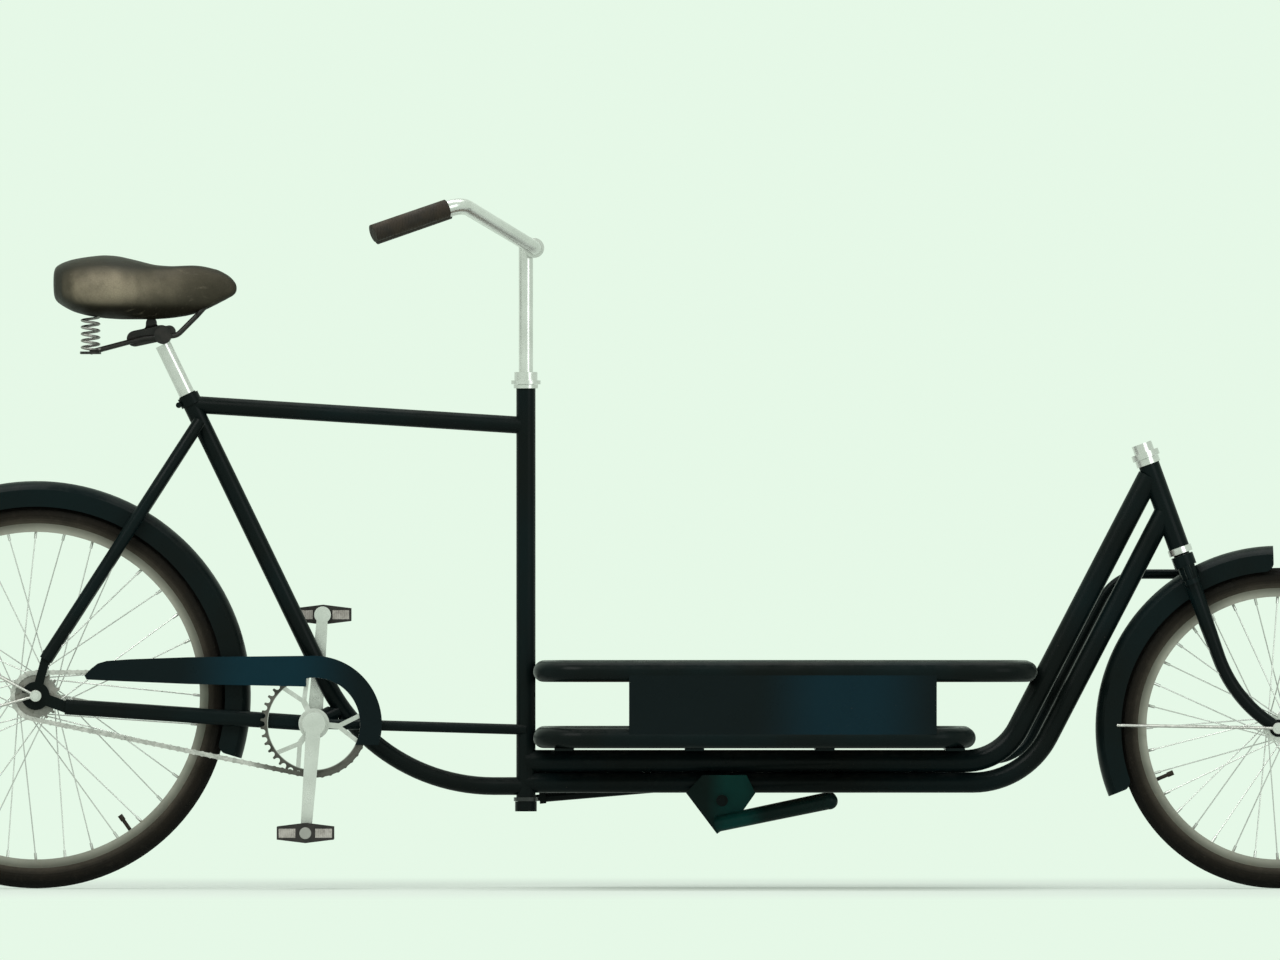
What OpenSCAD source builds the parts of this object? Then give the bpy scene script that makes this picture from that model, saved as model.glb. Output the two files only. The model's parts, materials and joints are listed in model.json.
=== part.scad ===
// Two-wheeled cargo bicycle with a low load bed between the rider and a small front wheel.
// +X is forward, +Y is the rider's left, +Z is up; the origin lies on the ground under the middle.
// A vertical column behind the bed turns the fork through a long rod.

/* [Wheels] */
// Distance between the wheel axles
wheelbase = 1937; // [1900:1:1990]
// Bead seat diameter of the rear rim
rear_bead_d = 525; // [515:1:535]
// Bead seat diameter of the front rim
front_bead_d = 424; // [414:1:434]
// Width of the tyre section
tyre_w = 40; // [38:1:42]
// Outside width of the rims
rim_w = 30; // [28:1:32]
// Spokes in each wheel
spoke_count = 36; // [28:4:40]
// Diameter of a spoke
spoke_d = 2; // [1.8:0.1:2.2]
// Gap between tyre tread and mudguard crown
guard_gap = 34.5; // [30:0.5:38]
// Width of the mudguards
guard_w = 54; // [52:1:55]
// Depth of the mudguards from crown to edge
guard_depth = 40; // [36:1:44]

/* [Drive] */
// Teeth on the chainring
chainring_teeth = 40; // [38:1:42]
// Teeth on the rear sprocket
sprocket_teeth = 18; // [17:1:19]
// Links in the chain
chain_links = 98; // [96:2:100]
// Height of the crank axle above the ground
bb_height = 257; // [250:1:265]
// Length of the cranks between centres
crank_l = 170; // [160:1:180]
// Turn of the right crank behind straight down
crank_turn = 4.2; // [0:0.1:20]
// Length of a pedal along the bicycle
pedal_l = 89; // [80:1:95]
// Width of a pedal across the bicycle
pedal_w = 92; // [80:1:100]

/* [Frame] */
// Diameter of the bent seat and down tube
seat_tube_d = 28; // [26.5:0.5:30]
// Lean of the seat tube from the vertical
seat_lean = 25.8; // [24:0.1:27]
// Height of the seat tube's upper end
seat_lug_z = 771; // [740:1:800]
// Bend radius between seat tube and down tube
down_bend_r = 292; // [240:1:300]
// Height of the level down tube
down_tube_z = 159.5; // [158:0.5:162]
// Diameter of the top tube
top_tube_d = 27; // [24:0.5:27.5]
// Distance from the rear axle to the steering column
column_setback = 764; // [750:1:800]
// Outside diameter of the steering column tube
column_d = 30; // [29.5:0.5:32]
// Height of the column tube's upper end
column_top_z = 780; // [765:1:810]
// Diameter of the upper neck tube
neck_upper_d = 35; // [32:0.5:37]
// Diameter of the lower neck tube
neck_lower_d = 32; // [29:0.5:33]
// Height of the upper neck tube under the bed
spine_z = 198.5; // [197:0.5:202]
// Lean of the neck from the vertical
neck_lean = 27.4; // [26:0.1:28.5]

/* [Steering] */
// Lean of the head tube from the vertical
head_lean = 19.9; // [19:0.1:21]
// Forward offset of the front axle from the steering axis
fork_rake = 49; // [44:1:54]
// Length of the head tube
head_l = 138; // [130:1:150]
// Length of the steering arms
arm_l = 76; // [75:1:78]
// Diameter of the steering rod
rod_d = 15; // [13:0.5:16]
// Height of the handlebar clamp
bar_clamp_z = 999; // [985:1:1020]
// Diameter of stem and handlebar
bar_d = 22.2; // [21:0.1:23]
// Overall width of the handlebar
bar_w = 600; // [580:1:640]
// Diameter of the grips
grip_d = 28; // [27:0.5:32]
// Length of the grips
grip_l = 128; // [110:1:135]

/* [Bed] */
// Diameter of the rails
rail_d = 32; // [28:0.5:34]
// Width of the bed between the centre lines of its rails
bed_w = 500; // [460:1:540]
// Height of the upper rail above the lower rail
rail_rise = 103; // [90:1:110]
// Length of the side plates
plate_l = 478; // [400:1:500]
// Thickness of the floor board
board_t = 12; // [9:1:14]

/* [Seat and stand] */
// Diameter of the seat post
post_d = 25; // [24:0.2:25.4]
// Length of the seat post above the seat tube
post_out = 86; // [80:1:100]
// Length of the saddle
saddle_l = 289; // [270:1:300]
// Width of the saddle at the back
saddle_w = 205; // [190:1:220]
// Diameter of the stand's legs
leg_d = 25; // [22:0.5:27]

/* [Hidden] */
$fn = 48;
fine = 128;
dark = [0.05, 0.07, 0.08];
silver = [0.80, 0.80, 0.78];
seat_gap = 0.3;
bend_overlap = 0.5;
bend_step = 0.04;
run_gap = 0.05;

// Wheels and axles
tyre_sink = 2;
tyre_h = tyre_w - tyre_sink;
rear_r = rear_bead_d / 2 + tyre_h;
front_r = front_bead_d / 2 + tyre_h;
rear_guard_r = rear_r + guard_gap;
front_guard_r = front_r + guard_gap;
rear_x = (rear_guard_r - wheelbase - front_r) / 2;
front_x = rear_x + wheelbase;
rear_axle_at = [rear_x, 0, rear_r];
front_axle_at = [front_x, 0, front_r];
crown_cut = 1.5;
tyre_wall = 4;
flange_h = 6.5;
rim_depth = 7;
rim_wall = 2.5;
bead_open = 7;
spoke_cross = 3;
nipple_d = 4.4;
nipple_l = 14;
hub_flange_t = 2.4;
rear_axle_d = 10;
front_axle_d = 9.5;
rear_flange_r = 34;
front_flange_r = 22;
rear_flange_y = 27;
front_flange_y = 31;
rear_hub_end = 41;
front_hub_end = 36;
guard_t = 1.5;
guard_section_r = 34;
chain_guard_r = 106;
chain_guard_bore_r = 72;
chain_guard_rear = 76;
guard_end_r = 16;
stay_wire_d = 4.5;
stay_eye_t = 8;
stay_eye_d = 18;
stay_inset = 6.5;
axle_nut_t = 8;
axle_over = 12;

// Chain drive, with the axles set so that the loop of links closes exactly
pitch = 12.7;
chain_line = 50;
roller_d = 7.75;
roller_l = 3.3;
link_t = 0.9;
link_h = 8.6;
link_gap = 0.1;
pin_d = 3.6;
pin_over = 0.8;
tooth_gap = 0.25;
tooth_h = 2.6;
ring_t = 2.4;
ring_pitch_r = chainring_teeth * pitch / (2 * PI);
sprocket_pitch_r = sprocket_teeth * pitch / (2 * PI);
pitch_r_step = ring_pitch_r - sprocket_pitch_r;
chain_length = chain_links * pitch;
function run_length(c) = (chain_length - PI * (ring_pitch_r + sprocket_pitch_r)
    - 2 * pitch_r_step * asin(pitch_r_step / c) * PI / 180) / 2;
function centre_distance(c, rounds) =
    rounds == 0 ? c : centre_distance(sqrt(pow(run_length(c), 2) + pow(pitch_r_step, 2)), rounds - 1);
chain_centres = centre_distance(chain_length / 3, 12);
straight_run = run_length(chain_centres);
bb_drop = rear_r - bb_height;
bb_x = rear_x + sqrt(pow(chain_centres, 2) - pow(bb_drop, 2));
bb_at = [bb_x, 0, bb_height];
chain_tilt = atan2(bb_drop, rear_x - bb_x) - 180;
wrap_change = asin(pitch_r_step / chain_centres);
leave_angle = 90 + wrap_change;

// Cranks and pedals
bb_w = 73;
bb_d = 40;
bb_bore_d = 34;
crank_axle_d = 17;
crank_inner_y = 63.5;
crank_t = 13;
crank_eye_d = 36;
pedal_eye_d = 26;
spindle_d = 9;
pedal_gap = 2;
pedal_h = 31;
pedal_plate_t = 3;
block_h = 14;
block_l = 26;
block_inset = 3;
block_x = (pedal_l - block_l) / 2 - block_inset;

// Rear frame
bb_offset = 45;
dropout_y = 57;
dropout_t = 5;
dropout_r = 22;
stay_y = dropout_y + dropout_t / 2;
chain_stay_h = 24;
chain_stay_w = 16;
seat_stay_d = 20;
brace_d = 16;
chain_stay_start = [46, -17];
seat_stay_end = [15, 56];
chain_stay_rear = rear_axle_at + [chain_stay_start.x, stay_y, chain_stay_start.y];
chain_stay_front = bb_at + [0, 29, 0];
seat_dir = [-sin(seat_lean), 0, cos(seat_lean)];
seat_normal = [cos(seat_lean), 0, sin(seat_lean)];
seat_foot = bb_at + bb_offset * seat_normal;
function on_seat_tube(z) = seat_foot + (z - seat_foot.z) / seat_dir.z * seat_dir;
seat_top = on_seat_tube(seat_lug_z);
seat_bore_l = 230;
top_tube_drop = 16;
seat_stay_drop = 42;
column_x = rear_x + column_setback;
column_foot_z = down_tube_z - 17.5;
top_tube_slope = 33;
brace_fall = 9.5;
brace_rear = bb_at - [0, (bb_w - brace_d - 4) / 2, 0];
brace_front = [column_x, -10, bb_height - brace_fall];

// Neck, head tube and fork, measured along the steering axis from the foot of the axle's normal
head_dir = [-sin(head_lean), 0, cos(head_lean)];
head_normal = [cos(head_lean), 0, sin(head_lean)];
head_foot = front_axle_at - fork_rake * head_normal;
function on_head(h) = head_foot + h * head_dir;
cup_h = 13;
crown_h = 18;
crown_clear = 6;
crown_bottom = sqrt(pow(front_guard_r + crown_clear, 2) - pow(fork_rake, 2));
crown_top = crown_bottom + crown_h;
head_bottom = crown_top + cup_h;
head_top = head_bottom + head_l;
head_d = 33;
steerer_d = 25.4;
cup_wall = 1.6;
head_cup_h = 10;
column_cup_h = 6;
cup_gap = 0.4;
neck_upper_meet = head_bottom + head_l - 12;
neck_lower_meet = head_bottom + 62;
lower_spine_z = spine_z - (neck_upper_d + neck_lower_d) / 2;
neck_dir = [sin(neck_lean), 0, cos(neck_lean)];
function neck_corner(meet, z) = on_head(meet) - (on_head(meet).z - z) / neck_dir.z * neck_dir;
neck_upper_corner = neck_corner(neck_upper_meet, spine_z);
neck_lower_corner = neck_corner(neck_lower_meet, lower_spine_z);
neck_upper_bend = 95;
neck_lower_bend = 132;
blade_y = 48;
blade_top_d = 27;
blade_low_d = 20;
fork_bend_r = 210;
fork_turn = acos(1 - fork_rake / fork_bend_r);
fork_bend_start = fork_bend_r * sin(fork_turn);

// Steering column, stem and handlebar
shaft_d = 25.4;
shaft_bore_d = bar_d + 2 * run_gap;
shaft_bore_l = 240;
column_bore_d = shaft_d + 2;
arm_t = 8;
arm_eye_d = 24;
arm_pin_d = 11;
arm_z = column_foot_z - 22;
rod_joint_z = arm_z + arm_t + 11;
stem_in = 90;
clamp_d = 31;
clamp_l = 42;
clamp_forward = 13;
bar_bend_r = 45;
bar_rise = 68;
bar_back = 113;
grip_back = 133;
grip_fall = 46;
grip_bare = 21;
bar_mid_y = 45;
bar_bend_y = bar_w / 2 - 62;
grip_end_y = bar_w / 2 - grip_d / 2;
nut_h = 25;

// Steering rod: level at the top, in line with the gap of the neck, then low under the bed
rod_level_z = 490;
rod_bend_r = 70;
rod_front_h = (rod_level_z - head_foot.z) / head_dir.z;
rod_front_at = on_head(rod_front_h) + [0, arm_l, 0];
rod_rear_at = [column_x, arm_l, rod_joint_z];
neck_gap_at = neck_upper_corner + (neck_upper_d + rod_d - 1) / 2 / cos(neck_lean) * [1, 0, 0];
function on_rod_slope(z) = neck_gap_at + [0, arm_l, 0] + (z - spine_z) / neck_dir.z * neck_dir;
rod_low_z = spine_z + 6;
rod_eye_bore_d = arm_pin_d + 5;
rod_eye_d = 26;
rod_front_eye_d = rod_eye_bore_d + 8;
rod_eye_h = 12;
trunnion_d = 8;
cheek_t = 5;

// Load bed
cross_t = 4;
cross_w = 30;
lower_rail_z = spine_z + neck_upper_d / 2 + cross_t + rail_d / 2;
upper_rail_z = lower_rail_z + rail_rise;
rail_bend_r = 60;
seat_depth = 3;
rail_rear_x = column_x + (column_d + rail_d) / 2 - seat_depth;
neck_at_rail = neck_upper_corner + (upper_rail_z - spine_z) / neck_dir.z * neck_dir;
upper_rail_front_x = neck_at_rail.x - (neck_upper_d / cos(neck_lean) + rail_d) / 2 + seat_depth - 2;
lower_rail_front_x = neck_upper_corner.x - neck_upper_bend * tan((90 - neck_lean) / 2);
plate_t = 3;
plate_setback = 400;
plate_y = bed_w / 2 + rail_d / 2 - plate_t - 1;
cross_count = 4;

// Saddle
post_top = seat_top + post_out * seat_dir;
post_in = 130;
saddle_clamp_at = post_top + [0, 0, 14];
saddle_x = saddle_clamp_at.x + 117;
saddle_base_z = saddle_clamp_at.z + 29;
saddle_h = 94;
rail_wire_d = 8;
saddle_clamp_d = 27;
rail_wire_y = 22;
rail_wire_nose = 52;
rail_wire_front = 22;
rail_wire_rear = 30;
spring_inset = 59;
spring_y = 42;
spring_drop = 26;
spring_at = [saddle_x - saddle_l + spring_inset, spring_y, saddle_clamp_at.z - spring_drop];
spring_h = saddle_base_z - spring_at.z + 2;
spring_r = 13;
spring_wire_d = 4;
spring_turns = 5;

// Stand
stand_setback = 306;
stand_x = column_x + stand_setback;
stand_plate_r = 56;
stand_plate_shape = [[-1, 0.21], [-0.54, 0.71], [0.68, 0.71], [0.93, 0.21], [0.43, -0.5], [-0.14, -0.93]];
stand_z = lower_spine_z - neck_lower_d / 2 - 12;
stand_bolt_d = 10;
stand_sleeve_d = 20;
stand_plate_t = 4;
stand_plate_y = neck_upper_d / 2 + 2;
leg_reach = 167;
leg_drop = 36;
foot_y = 130;
stand_at = [stand_x, 0, stand_z];

// Shared shapes

function unit(v) = v / norm(v);

module along(a, b) {
    d = b - a;
    translate(a)
        rotate([0, acos(d.z / norm(d)), atan2(d.y, d.x)])
            children();
}

module bar(a, b, d) {
    along(a, b)
        cylinder(d = d, h = norm(b - a));
}

// Quarter-torus style elbow that turns a bar from direction u to direction v round corner p
module elbow(p, u, v, r, d) {
    turn = acos(u * v);
    n = unit(v - (u * v) * u);
    c = p - r * tan(turn / 2) * u + r * n;
    z = cross(u, n);
    multmatrix([[-n.x, u.x, z.x, c.x], [-n.y, u.y, z.y, c.y], [-n.z, u.z, z.z, c.z]])
        rotate_extrude(angle = turn, $fn = fine)
            translate([r, 0])
                circle(d = d - bend_step, $fn = 48);
}

// Round bar through a list of corners, each with its own bend radius
module bent_bar(points, radii, d) {
    last = len(points) - 1;
    dirs = [for (i = [0:last - 1]) unit(points[i + 1] - points[i])];
    cuts = [for (i = [0:last])
        i == 0 || i == last ? 0 : radii[i - 1] * tan(acos(dirs[i - 1] * dirs[i]) / 2)];
    for (i = [0:last - 1]) {
        from = i == 0 ? 0 : cuts[i] - bend_overlap;
        to = i == last - 1 ? 0 : cuts[i + 1] - bend_overlap;
        bar(points[i] + from * dirs[i], points[i + 1] - to * dirs[i], d);
    }
    for (i = [1:last - 1])
        elbow(points[i], dirs[i - 1], dirs[i], radii[i - 1], d);
}

// Cylinder across the bicycle between two distances from its middle plane
module across(at, y0, y1, d) {
    translate([at.x, 0, at.z])
        rotate([-90, 0, 0])
            translate([0, 0, y0])
                cylinder(d = d, h = y1 - y0);
}

module both_sides() {
    children();
    mirror([0, 1, 0])
        children();
}

// Frame pieces

module column_solid() {
    translate([column_x, 0, column_foot_z])
        cylinder(d = column_d, h = column_top_z - column_foot_z);
}

module seat_tube_solid() {
    bent_bar([seat_top, on_seat_tube(down_tube_z), [column_x, 0, down_tube_z]], [down_bend_r], seat_tube_d);
}

module seat_tube() {
    color(dark)
        difference() {
            seat_tube_solid();
            column_solid();
            bar(seat_top + seat_dir, seat_top - seat_bore_l * seat_dir, post_d + 2 * run_gap);
        }
}

module top_tube_solid() {
    rear = on_seat_tube(seat_lug_z - top_tube_drop);
    bar(rear, [column_x, 0, rear.z - top_tube_slope], top_tube_d);
}

module top_tube() {
    color(dark)
        difference() {
            top_tube_solid();
            bar(seat_top, on_seat_tube(bb_height), seat_tube_d);
            column_solid();
        }
}

module seat_stay_solid() {
    top = on_seat_tube(seat_lug_z - seat_stay_drop) + [0, seat_tube_d / 2 + seat_stay_d / 2 - 1, 0];
    low = rear_axle_at + [seat_stay_end.x, stay_y, seat_stay_end.y];
    knee_share = 0.29;
    knee = top + knee_share * (low - top);
    bent_bar([top, [knee.x, guard_w / 2 + seat_stay_d / 2 + 5, knee.z], low], [150], seat_stay_d);
}

module seat_stays() {
    color(dark) {
        difference() {
            both_sides()
                seat_stay_solid();
            bar(seat_top, on_seat_tube(bb_height), seat_tube_d);
            rear_dropout_solids();
        }
        guard_bridge();
    }
}

// Bar between the seat stays that rests on the mudguard's crown
module guard_bridge() {
    bridge_d = 12;
    reach = rear_guard_r + bridge_d / 2;
    low = [seat_stay_end.x, 0, seat_stay_end.y];
    dir = unit(on_seat_tube(seat_lug_z - seat_stay_drop) - rear_axle_at - low);
    half = low * dir;
    travel = sqrt(half * half - low * low + reach * reach) - half;
    at = rear_axle_at + low + travel * dir;
    difference() {
        across(at, -guard_w / 2 - bridge_d, guard_w / 2 + bridge_d, bridge_d);
        both_sides()
            seat_stay_solid();
    }
}

module chain_stay_solid() {
    along(chain_stay_rear, chain_stay_front)
        linear_extrude(norm(chain_stay_front - chain_stay_rear))
            union() {
                square([chain_stay_h - chain_stay_w, chain_stay_w], center = true);
                for (side = [-1, 1])
                    translate([side * (chain_stay_h - chain_stay_w) / 2, 0])
                        circle(d = chain_stay_w);
            }
}

module chain_stays() {
    color(dark) {
        difference() {
            both_sides()
                chain_stay_solid();
            across(bb_at, -bb_w, bb_w, bb_d);
        }
        rear_dropout_solids();
    }
}

module rear_dropout_solids() {
    both_sides()
        translate([rear_x, dropout_y + dropout_t, rear_r])
            rotate([90, 0, 0])
                linear_extrude(dropout_t)
                    difference() {
                        union() {
                            circle(r = dropout_r);
                            rotate(atan2(chain_stay_start.y, chain_stay_start.x))
                                translate([0, -9])
                                    square([62, 18]);
                            rotate(atan2(seat_stay_end.y, seat_stay_end.x))
                                translate([0, -7])
                                    square([72, 14]);
                        }
                        circle(d = rear_axle_d + 2 * run_gap);
                        translate([-40, -rear_axle_d / 2 - run_gap])
                            square([40, rear_axle_d + 2 * run_gap]);
                    }
}

module bottom_bracket() {
    color(dark)
        difference() {
            union() {
                across(bb_at, -bb_w / 2, bb_w / 2, bb_d);
                bar(bb_at, seat_foot, 30);
            }
            across(bb_at, -bb_w, bb_w, bb_bore_d);
            bar(seat_top, on_seat_tube(down_tube_z), seat_tube_d);
        }
}

// Point of the right brace bar's centre line at a distance in front of the crank axle
function brace_at(reach) = brace_rear + reach / (brace_front.x - brace_rear.x) * (brace_front - brace_rear);

module brace_solids() {
    both_sides()
        bar(brace_rear, brace_front, brace_d);
}

module brace_bars() {
    color(dark)
        difference() {
            brace_solids();
            across(bb_at, -bb_w, bb_w, bb_d);
            bar(seat_top, on_seat_tube(down_tube_z), seat_tube_d + 4 * run_gap);
            column_solid();
        }
}

module column_tube() {
    color(dark)
        difference() {
            column_solid();
            translate([column_x, 0, column_foot_z - 1])
                cylinder(d = column_bore_d, h = column_top_z - column_foot_z + 2);
        }
}

module head_solid() {
    bar(on_head(head_bottom), on_head(head_top), head_d);
}

module neck_upper_solid() {
    bent_bar([[column_x, 0, spine_z], neck_upper_corner, on_head(neck_upper_meet) - head_d / 4 * neck_dir],
        [neck_upper_bend], neck_upper_d);
}

module neck_upper_tube() {
    color(dark)
        difference() {
            neck_upper_solid();
            column_solid();
            head_solid();
        }
}

module neck_lower_tube() {
    color(dark)
        difference() {
            bent_bar([[column_x, 0, lower_spine_z], neck_lower_corner, on_head(neck_lower_meet)],
                [neck_lower_bend], neck_lower_d);
            column_solid();
            head_solid();
        }
}

module head_tube() {
    color(dark)
        difference() {
            head_solid();
            bar(on_head(head_bottom - 1), on_head(head_top + 1), head_d - 2 * cup_wall);
        }
}

// Load bed

module rail_loop(z, front_x) {
    half = bed_w / 2;
    bent_bar([[rail_rear_x, 0, z], [rail_rear_x, half, z], [front_x, half, z], [front_x, -half, z],
        [rail_rear_x, -half, z], [rail_rear_x, 0, z]],
        [rail_bend_r, rail_bend_r, rail_bend_r, rail_bend_r], rail_d);
}

module upper_rail() {
    color(dark)
        difference() {
            rail_loop(upper_rail_z, upper_rail_front_x);
            column_solid();
            neck_upper_solid();
        }
}

module lower_rail() {
    color(dark)
        difference() {
            rail_loop(lower_rail_z, lower_rail_front_x);
            column_solid();
        }
}

module cross_bars() {
    first = rail_rear_x + rail_d;
    last = lower_rail_front_x - cross_w / 2 - 1;
    color(dark)
        for (i = [0:cross_count - 1])
            translate([first + i * (last - first) / (cross_count - 1) - cross_w / 2, -bed_w / 2,
                spine_z + neck_upper_d / 2])
                cube([cross_w, bed_w, cross_t]);
}

module rounded_rect(l, w, r) {
    square([l - 2 * r, w], center = true);
    square([l, w - 2 * r], center = true);
    for (x = [-1, 1], y = [-1, 1])
        translate([x * (l / 2 - r), y * (w / 2 - r)])
            circle(r = r);
}

module floor_board() {
    inset = rail_d / 2 + seat_gap;
    l = lower_rail_front_x - rail_rear_x - 2 * inset;
    color([0.35, 0.25, 0.16])
        translate([(lower_rail_front_x + rail_rear_x) / 2, 0, lower_rail_z - rail_d / 2])
            linear_extrude(board_t)
                rounded_rect(l, bed_w - 2 * inset, rail_bend_r - inset);
}

module side_plates() {
    middle = column_x + plate_setback;
    color(dark)
        difference() {
            both_sides()
                translate([middle - plate_l / 2, plate_y, lower_rail_z])
                    cube([plate_l, plate_t, rail_rise]);
            both_sides()
                for (z = [lower_rail_z, upper_rail_z])
                    bar([rail_rear_x, bed_w / 2, z], [upper_rail_front_x, bed_w / 2, z], rail_d);
        }
}

// Mudguards, chain guard and their carriers

module guard_profile(r, wall, depth) {
    half = guard_w / 2 - wall;
    intersection() {
        translate([r - guard_section_r, 0])
            circle(r = guard_section_r - wall, $fn = fine);
        translate([r - depth, -half])
            square([depth, 2 * half]);
    }
}

// Round on the inner corner of a mudguard's end; hand 1 when the mudguard lies past the end's angle
module guard_end(r, turn, hand) {
    ease = 0.6;
    rotate(turn)
        linear_extrude(2 * guard_w, center = true)
            translate([r - guard_depth, 0])
                difference() {
                    translate([-1, hand > 0 ? -1 : -guard_end_r])
                        square(guard_end_r + 1);
                    translate((guard_end_r - ease) * [1, hand])
                        circle(r = guard_end_r);
                }
}

module mudguard(at, r, from, to) {
    translate(at)
        rotate([90, 0, 0])
            difference() {
                rotate([0, 0, from])
                    rotate_extrude(angle = to - from, $fn = fine)
                        difference() {
                            guard_profile(r, 0, guard_depth);
                            guard_profile(r, guard_t, guard_depth + 1);
                        }
                guard_end(r, from, 1);
                guard_end(r, to, -1);
            }
}

module rear_mudguard() {
    color(dark)
        mudguard(rear_axle_at, rear_guard_r, -17, 200);
}

// Bar stay from the wheel's axle to the side of its mudguard
module guard_stay(at, r, turn, axle_y, axle_d) {
    sink = 0.6;
    edge = r - guard_depth + stay_inset;
    end = at + [edge * cos(turn), guard_w / 2 + stay_wire_d / 2 - sink, edge * sin(turn)];
    start = at + [0, axle_y + stay_eye_t - stay_wire_d / 2, 0];
    difference() {
        union() {
            bar(start, end, stay_wire_d);
            across(at, axle_y, axle_y + stay_eye_t, stay_eye_d);
        }
        across(at, axle_y - stay_eye_t, axle_y + 2 * stay_eye_t, axle_d);
    }
}

module rear_mudguard_stays() {
    color(silver)
        both_sides()
            for (turn = [152, 196])
                guard_stay(rear_axle_at, rear_guard_r, turn, dropout_y + dropout_t, rear_axle_d);
}

// Plate over the upper chain run that curls round the front of the chainring
module chain_guard() {
    guard_y = -chain_line - 7;
    lip = 10;
    lip_rear = rear_x + chain_guard_rear + 24;
    bracket_d = 8;
    rear_bracket_z = bb_height + chain_guard_r - bracket_d / 2 - 2;
    rear_bracket = [on_seat_tube(rear_bracket_z).x, 0, rear_bracket_z];
    front_bracket = brace_at(chain_guard_r - bracket_d / 2 - 7);
    color(dark) {
        translate([0, guard_y, 0])
            rotate([90, 0, 0]) {
                linear_extrude(guard_t)
                    chain_guard_outline(0, chain_guard_bore_r);
                translate([0, 0, -lip])
                    linear_extrude(lip)
                        difference() {
                            intersection() {
                                chain_guard_outline(0, chain_guard_bore_r);
                                translate([lip_rear, bb_height])
                                    square([wheelbase, 2 * chain_guard_r]);
                            }
                            chain_guard_outline(guard_t, 0);
                        }
            }
        difference() {
            across(rear_bracket, guard_y - guard_t / 2, 0, bracket_d);
            bar(seat_top, on_seat_tube(bb_height), seat_tube_d);
        }
        difference() {
            across(front_bracket, guard_y - guard_t / 2, front_bracket.y, bracket_d);
            brace_solids();
        }
    }
}

// Side view of the chain guard, drawn in by a wall thickness at its upper edge
module chain_guard_outline(wall, bore_r) {
    rear = rear_x + chain_guard_rear;
    front = bb_x - 12;
    top = bb_height + chain_guard_r - wall;
    l = front - rear;
    edge = [[0, 31], [0.03, 20], [0.06, 12], [0.1, 8], [0.2, 5.5], [0.47, 2.2], [1, 0],
        [1, 48], [0.47, 44], [0.09, 38.5], [0.01, 37]];
    polygon([for (p = edge) [rear + p[0] * l, top - p[1]]]);
    intersection() {
        difference() {
            translate([bb_x, bb_height])
                circle(r = chain_guard_r - wall, $fn = fine);
            translate([bb_x, bb_height])
                circle(r = bore_r, $fn = fine);
        }
        translate([front, bb_height - 33])
            square([2 * chain_guard_r, chain_guard_r + 33]);
    }
}

// Cups at both ends of the steering column and of the head tube
module bearing_cups() {
    cup_d = 38;
    color(silver) {
        for (z = [column_top_z, column_foot_z - column_cup_h])
            translate([column_x, 0, z])
                difference() {
                    cylinder(d = cup_d, h = column_cup_h);
                    translate([0, 0, -1])
                        cylinder(d = shaft_d + 2 * run_gap, h = column_cup_h + 2);
                }
        difference() {
            union() {
                bar(on_head(head_top), on_head(head_top + head_cup_h), cup_d);
                bar(on_head(head_bottom - head_cup_h), on_head(head_bottom), cup_d);
            }
            bar(on_head(crown_bottom), on_head(head_top + 60), steerer_d + 2 * run_gap);
        }
    }
}

module bb_cups() {
    color(silver)
        both_sides()
            difference() {
                union() {
                    across(bb_at, bb_w / 2 - 14, bb_w / 2, bb_bore_d);
                    across(bb_at, bb_w / 2, bb_w / 2 + 3, bb_d);
                }
                across(bb_at, 0, bb_w, crank_axle_d + 2 * run_gap);
            }
}

module seat_clamp() {
    collar_h = 16;
    low = seat_top - (collar_h + 2) * seat_dir;
    color(silver)
        difference() {
            union() {
                bar(low, low + collar_h * seat_dir, seat_tube_d + 6);
                translate(low + collar_h / 2 * seat_dir - (seat_tube_d / 2 + 5) * seat_normal)
                    rotate([90, 0, 0])
                        translate([0, 0, -13])
                            cylinder(d = 9, h = 26);
            }
            bar(low - collar_h * seat_dir, low + 2 * collar_h * seat_dir, seat_tube_d);
            top_tube_solid();
            both_sides()
                seat_stay_solid();
        }
}

module stand_bracket() {
    sleeve_half = stand_plate_y - 0.5;
    lug_l = 34;
    color(dark) {
        difference() {
            union() {
                across(stand_at, -sleeve_half, sleeve_half, stand_sleeve_d);
                translate([stand_x - lug_l / 2, -6, stand_z])
                    cube([lug_l, 12, neck_lower_d / 2 + 12]);
            }
            bar([column_x, 0, lower_spine_z], neck_lower_corner, neck_lower_d);
        }
        across(stand_at, -stand_plate_y - stand_plate_t - 9, stand_plate_y + stand_plate_t + 9, stand_bolt_d);
        both_sides()
            across(stand_at, stand_plate_y + stand_plate_t + 0.5, stand_plate_y + stand_plate_t + 7, 18);
    }
}

module rear_axle() {
    nut_y = dropout_y + dropout_t + stay_eye_t;
    end_y = nut_y + axle_nut_t + axle_over;
    spacer_d = 19;
    color(silver) {
        across(rear_axle_at, -end_y, end_y, rear_axle_d);
        both_sides()
            across(rear_axle_at, nut_y, nut_y + axle_nut_t, 17);
        across(rear_axle_at, rear_hub_end + 8, dropout_y, spacer_d);
        across(rear_axle_at, -dropout_y, -chain_line - 5.2, spacer_d);
    }
}

module brake_arm() {
    arm_y = rear_hub_end + 3;
    lever_t = 3;
    reach = 118;
    stay = chain_stay_front - chain_stay_rear;
    end = chain_stay_rear + (reach - chain_stay_start.x) / stay.x * stay;
    color(silver)
        difference() {
            union() {
                across(rear_axle_at, arm_y, arm_y + lever_t + 2, 40);
                translate([0, arm_y, 0])
                    hull() {
                        across(rear_axle_at, 0, lever_t, 18);
                        across(end, 0, lever_t, 14);
                    }
            }
            across(rear_axle_at, 0, 2 * dropout_y, rear_axle_d);
            chain_stay_solid();
        }
}

// Chain: links alternate between inner ones with rollers and outer ones with pins

function arc_point(x, r, a) = [x + r * cos(a), r * sin(a)];

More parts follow.
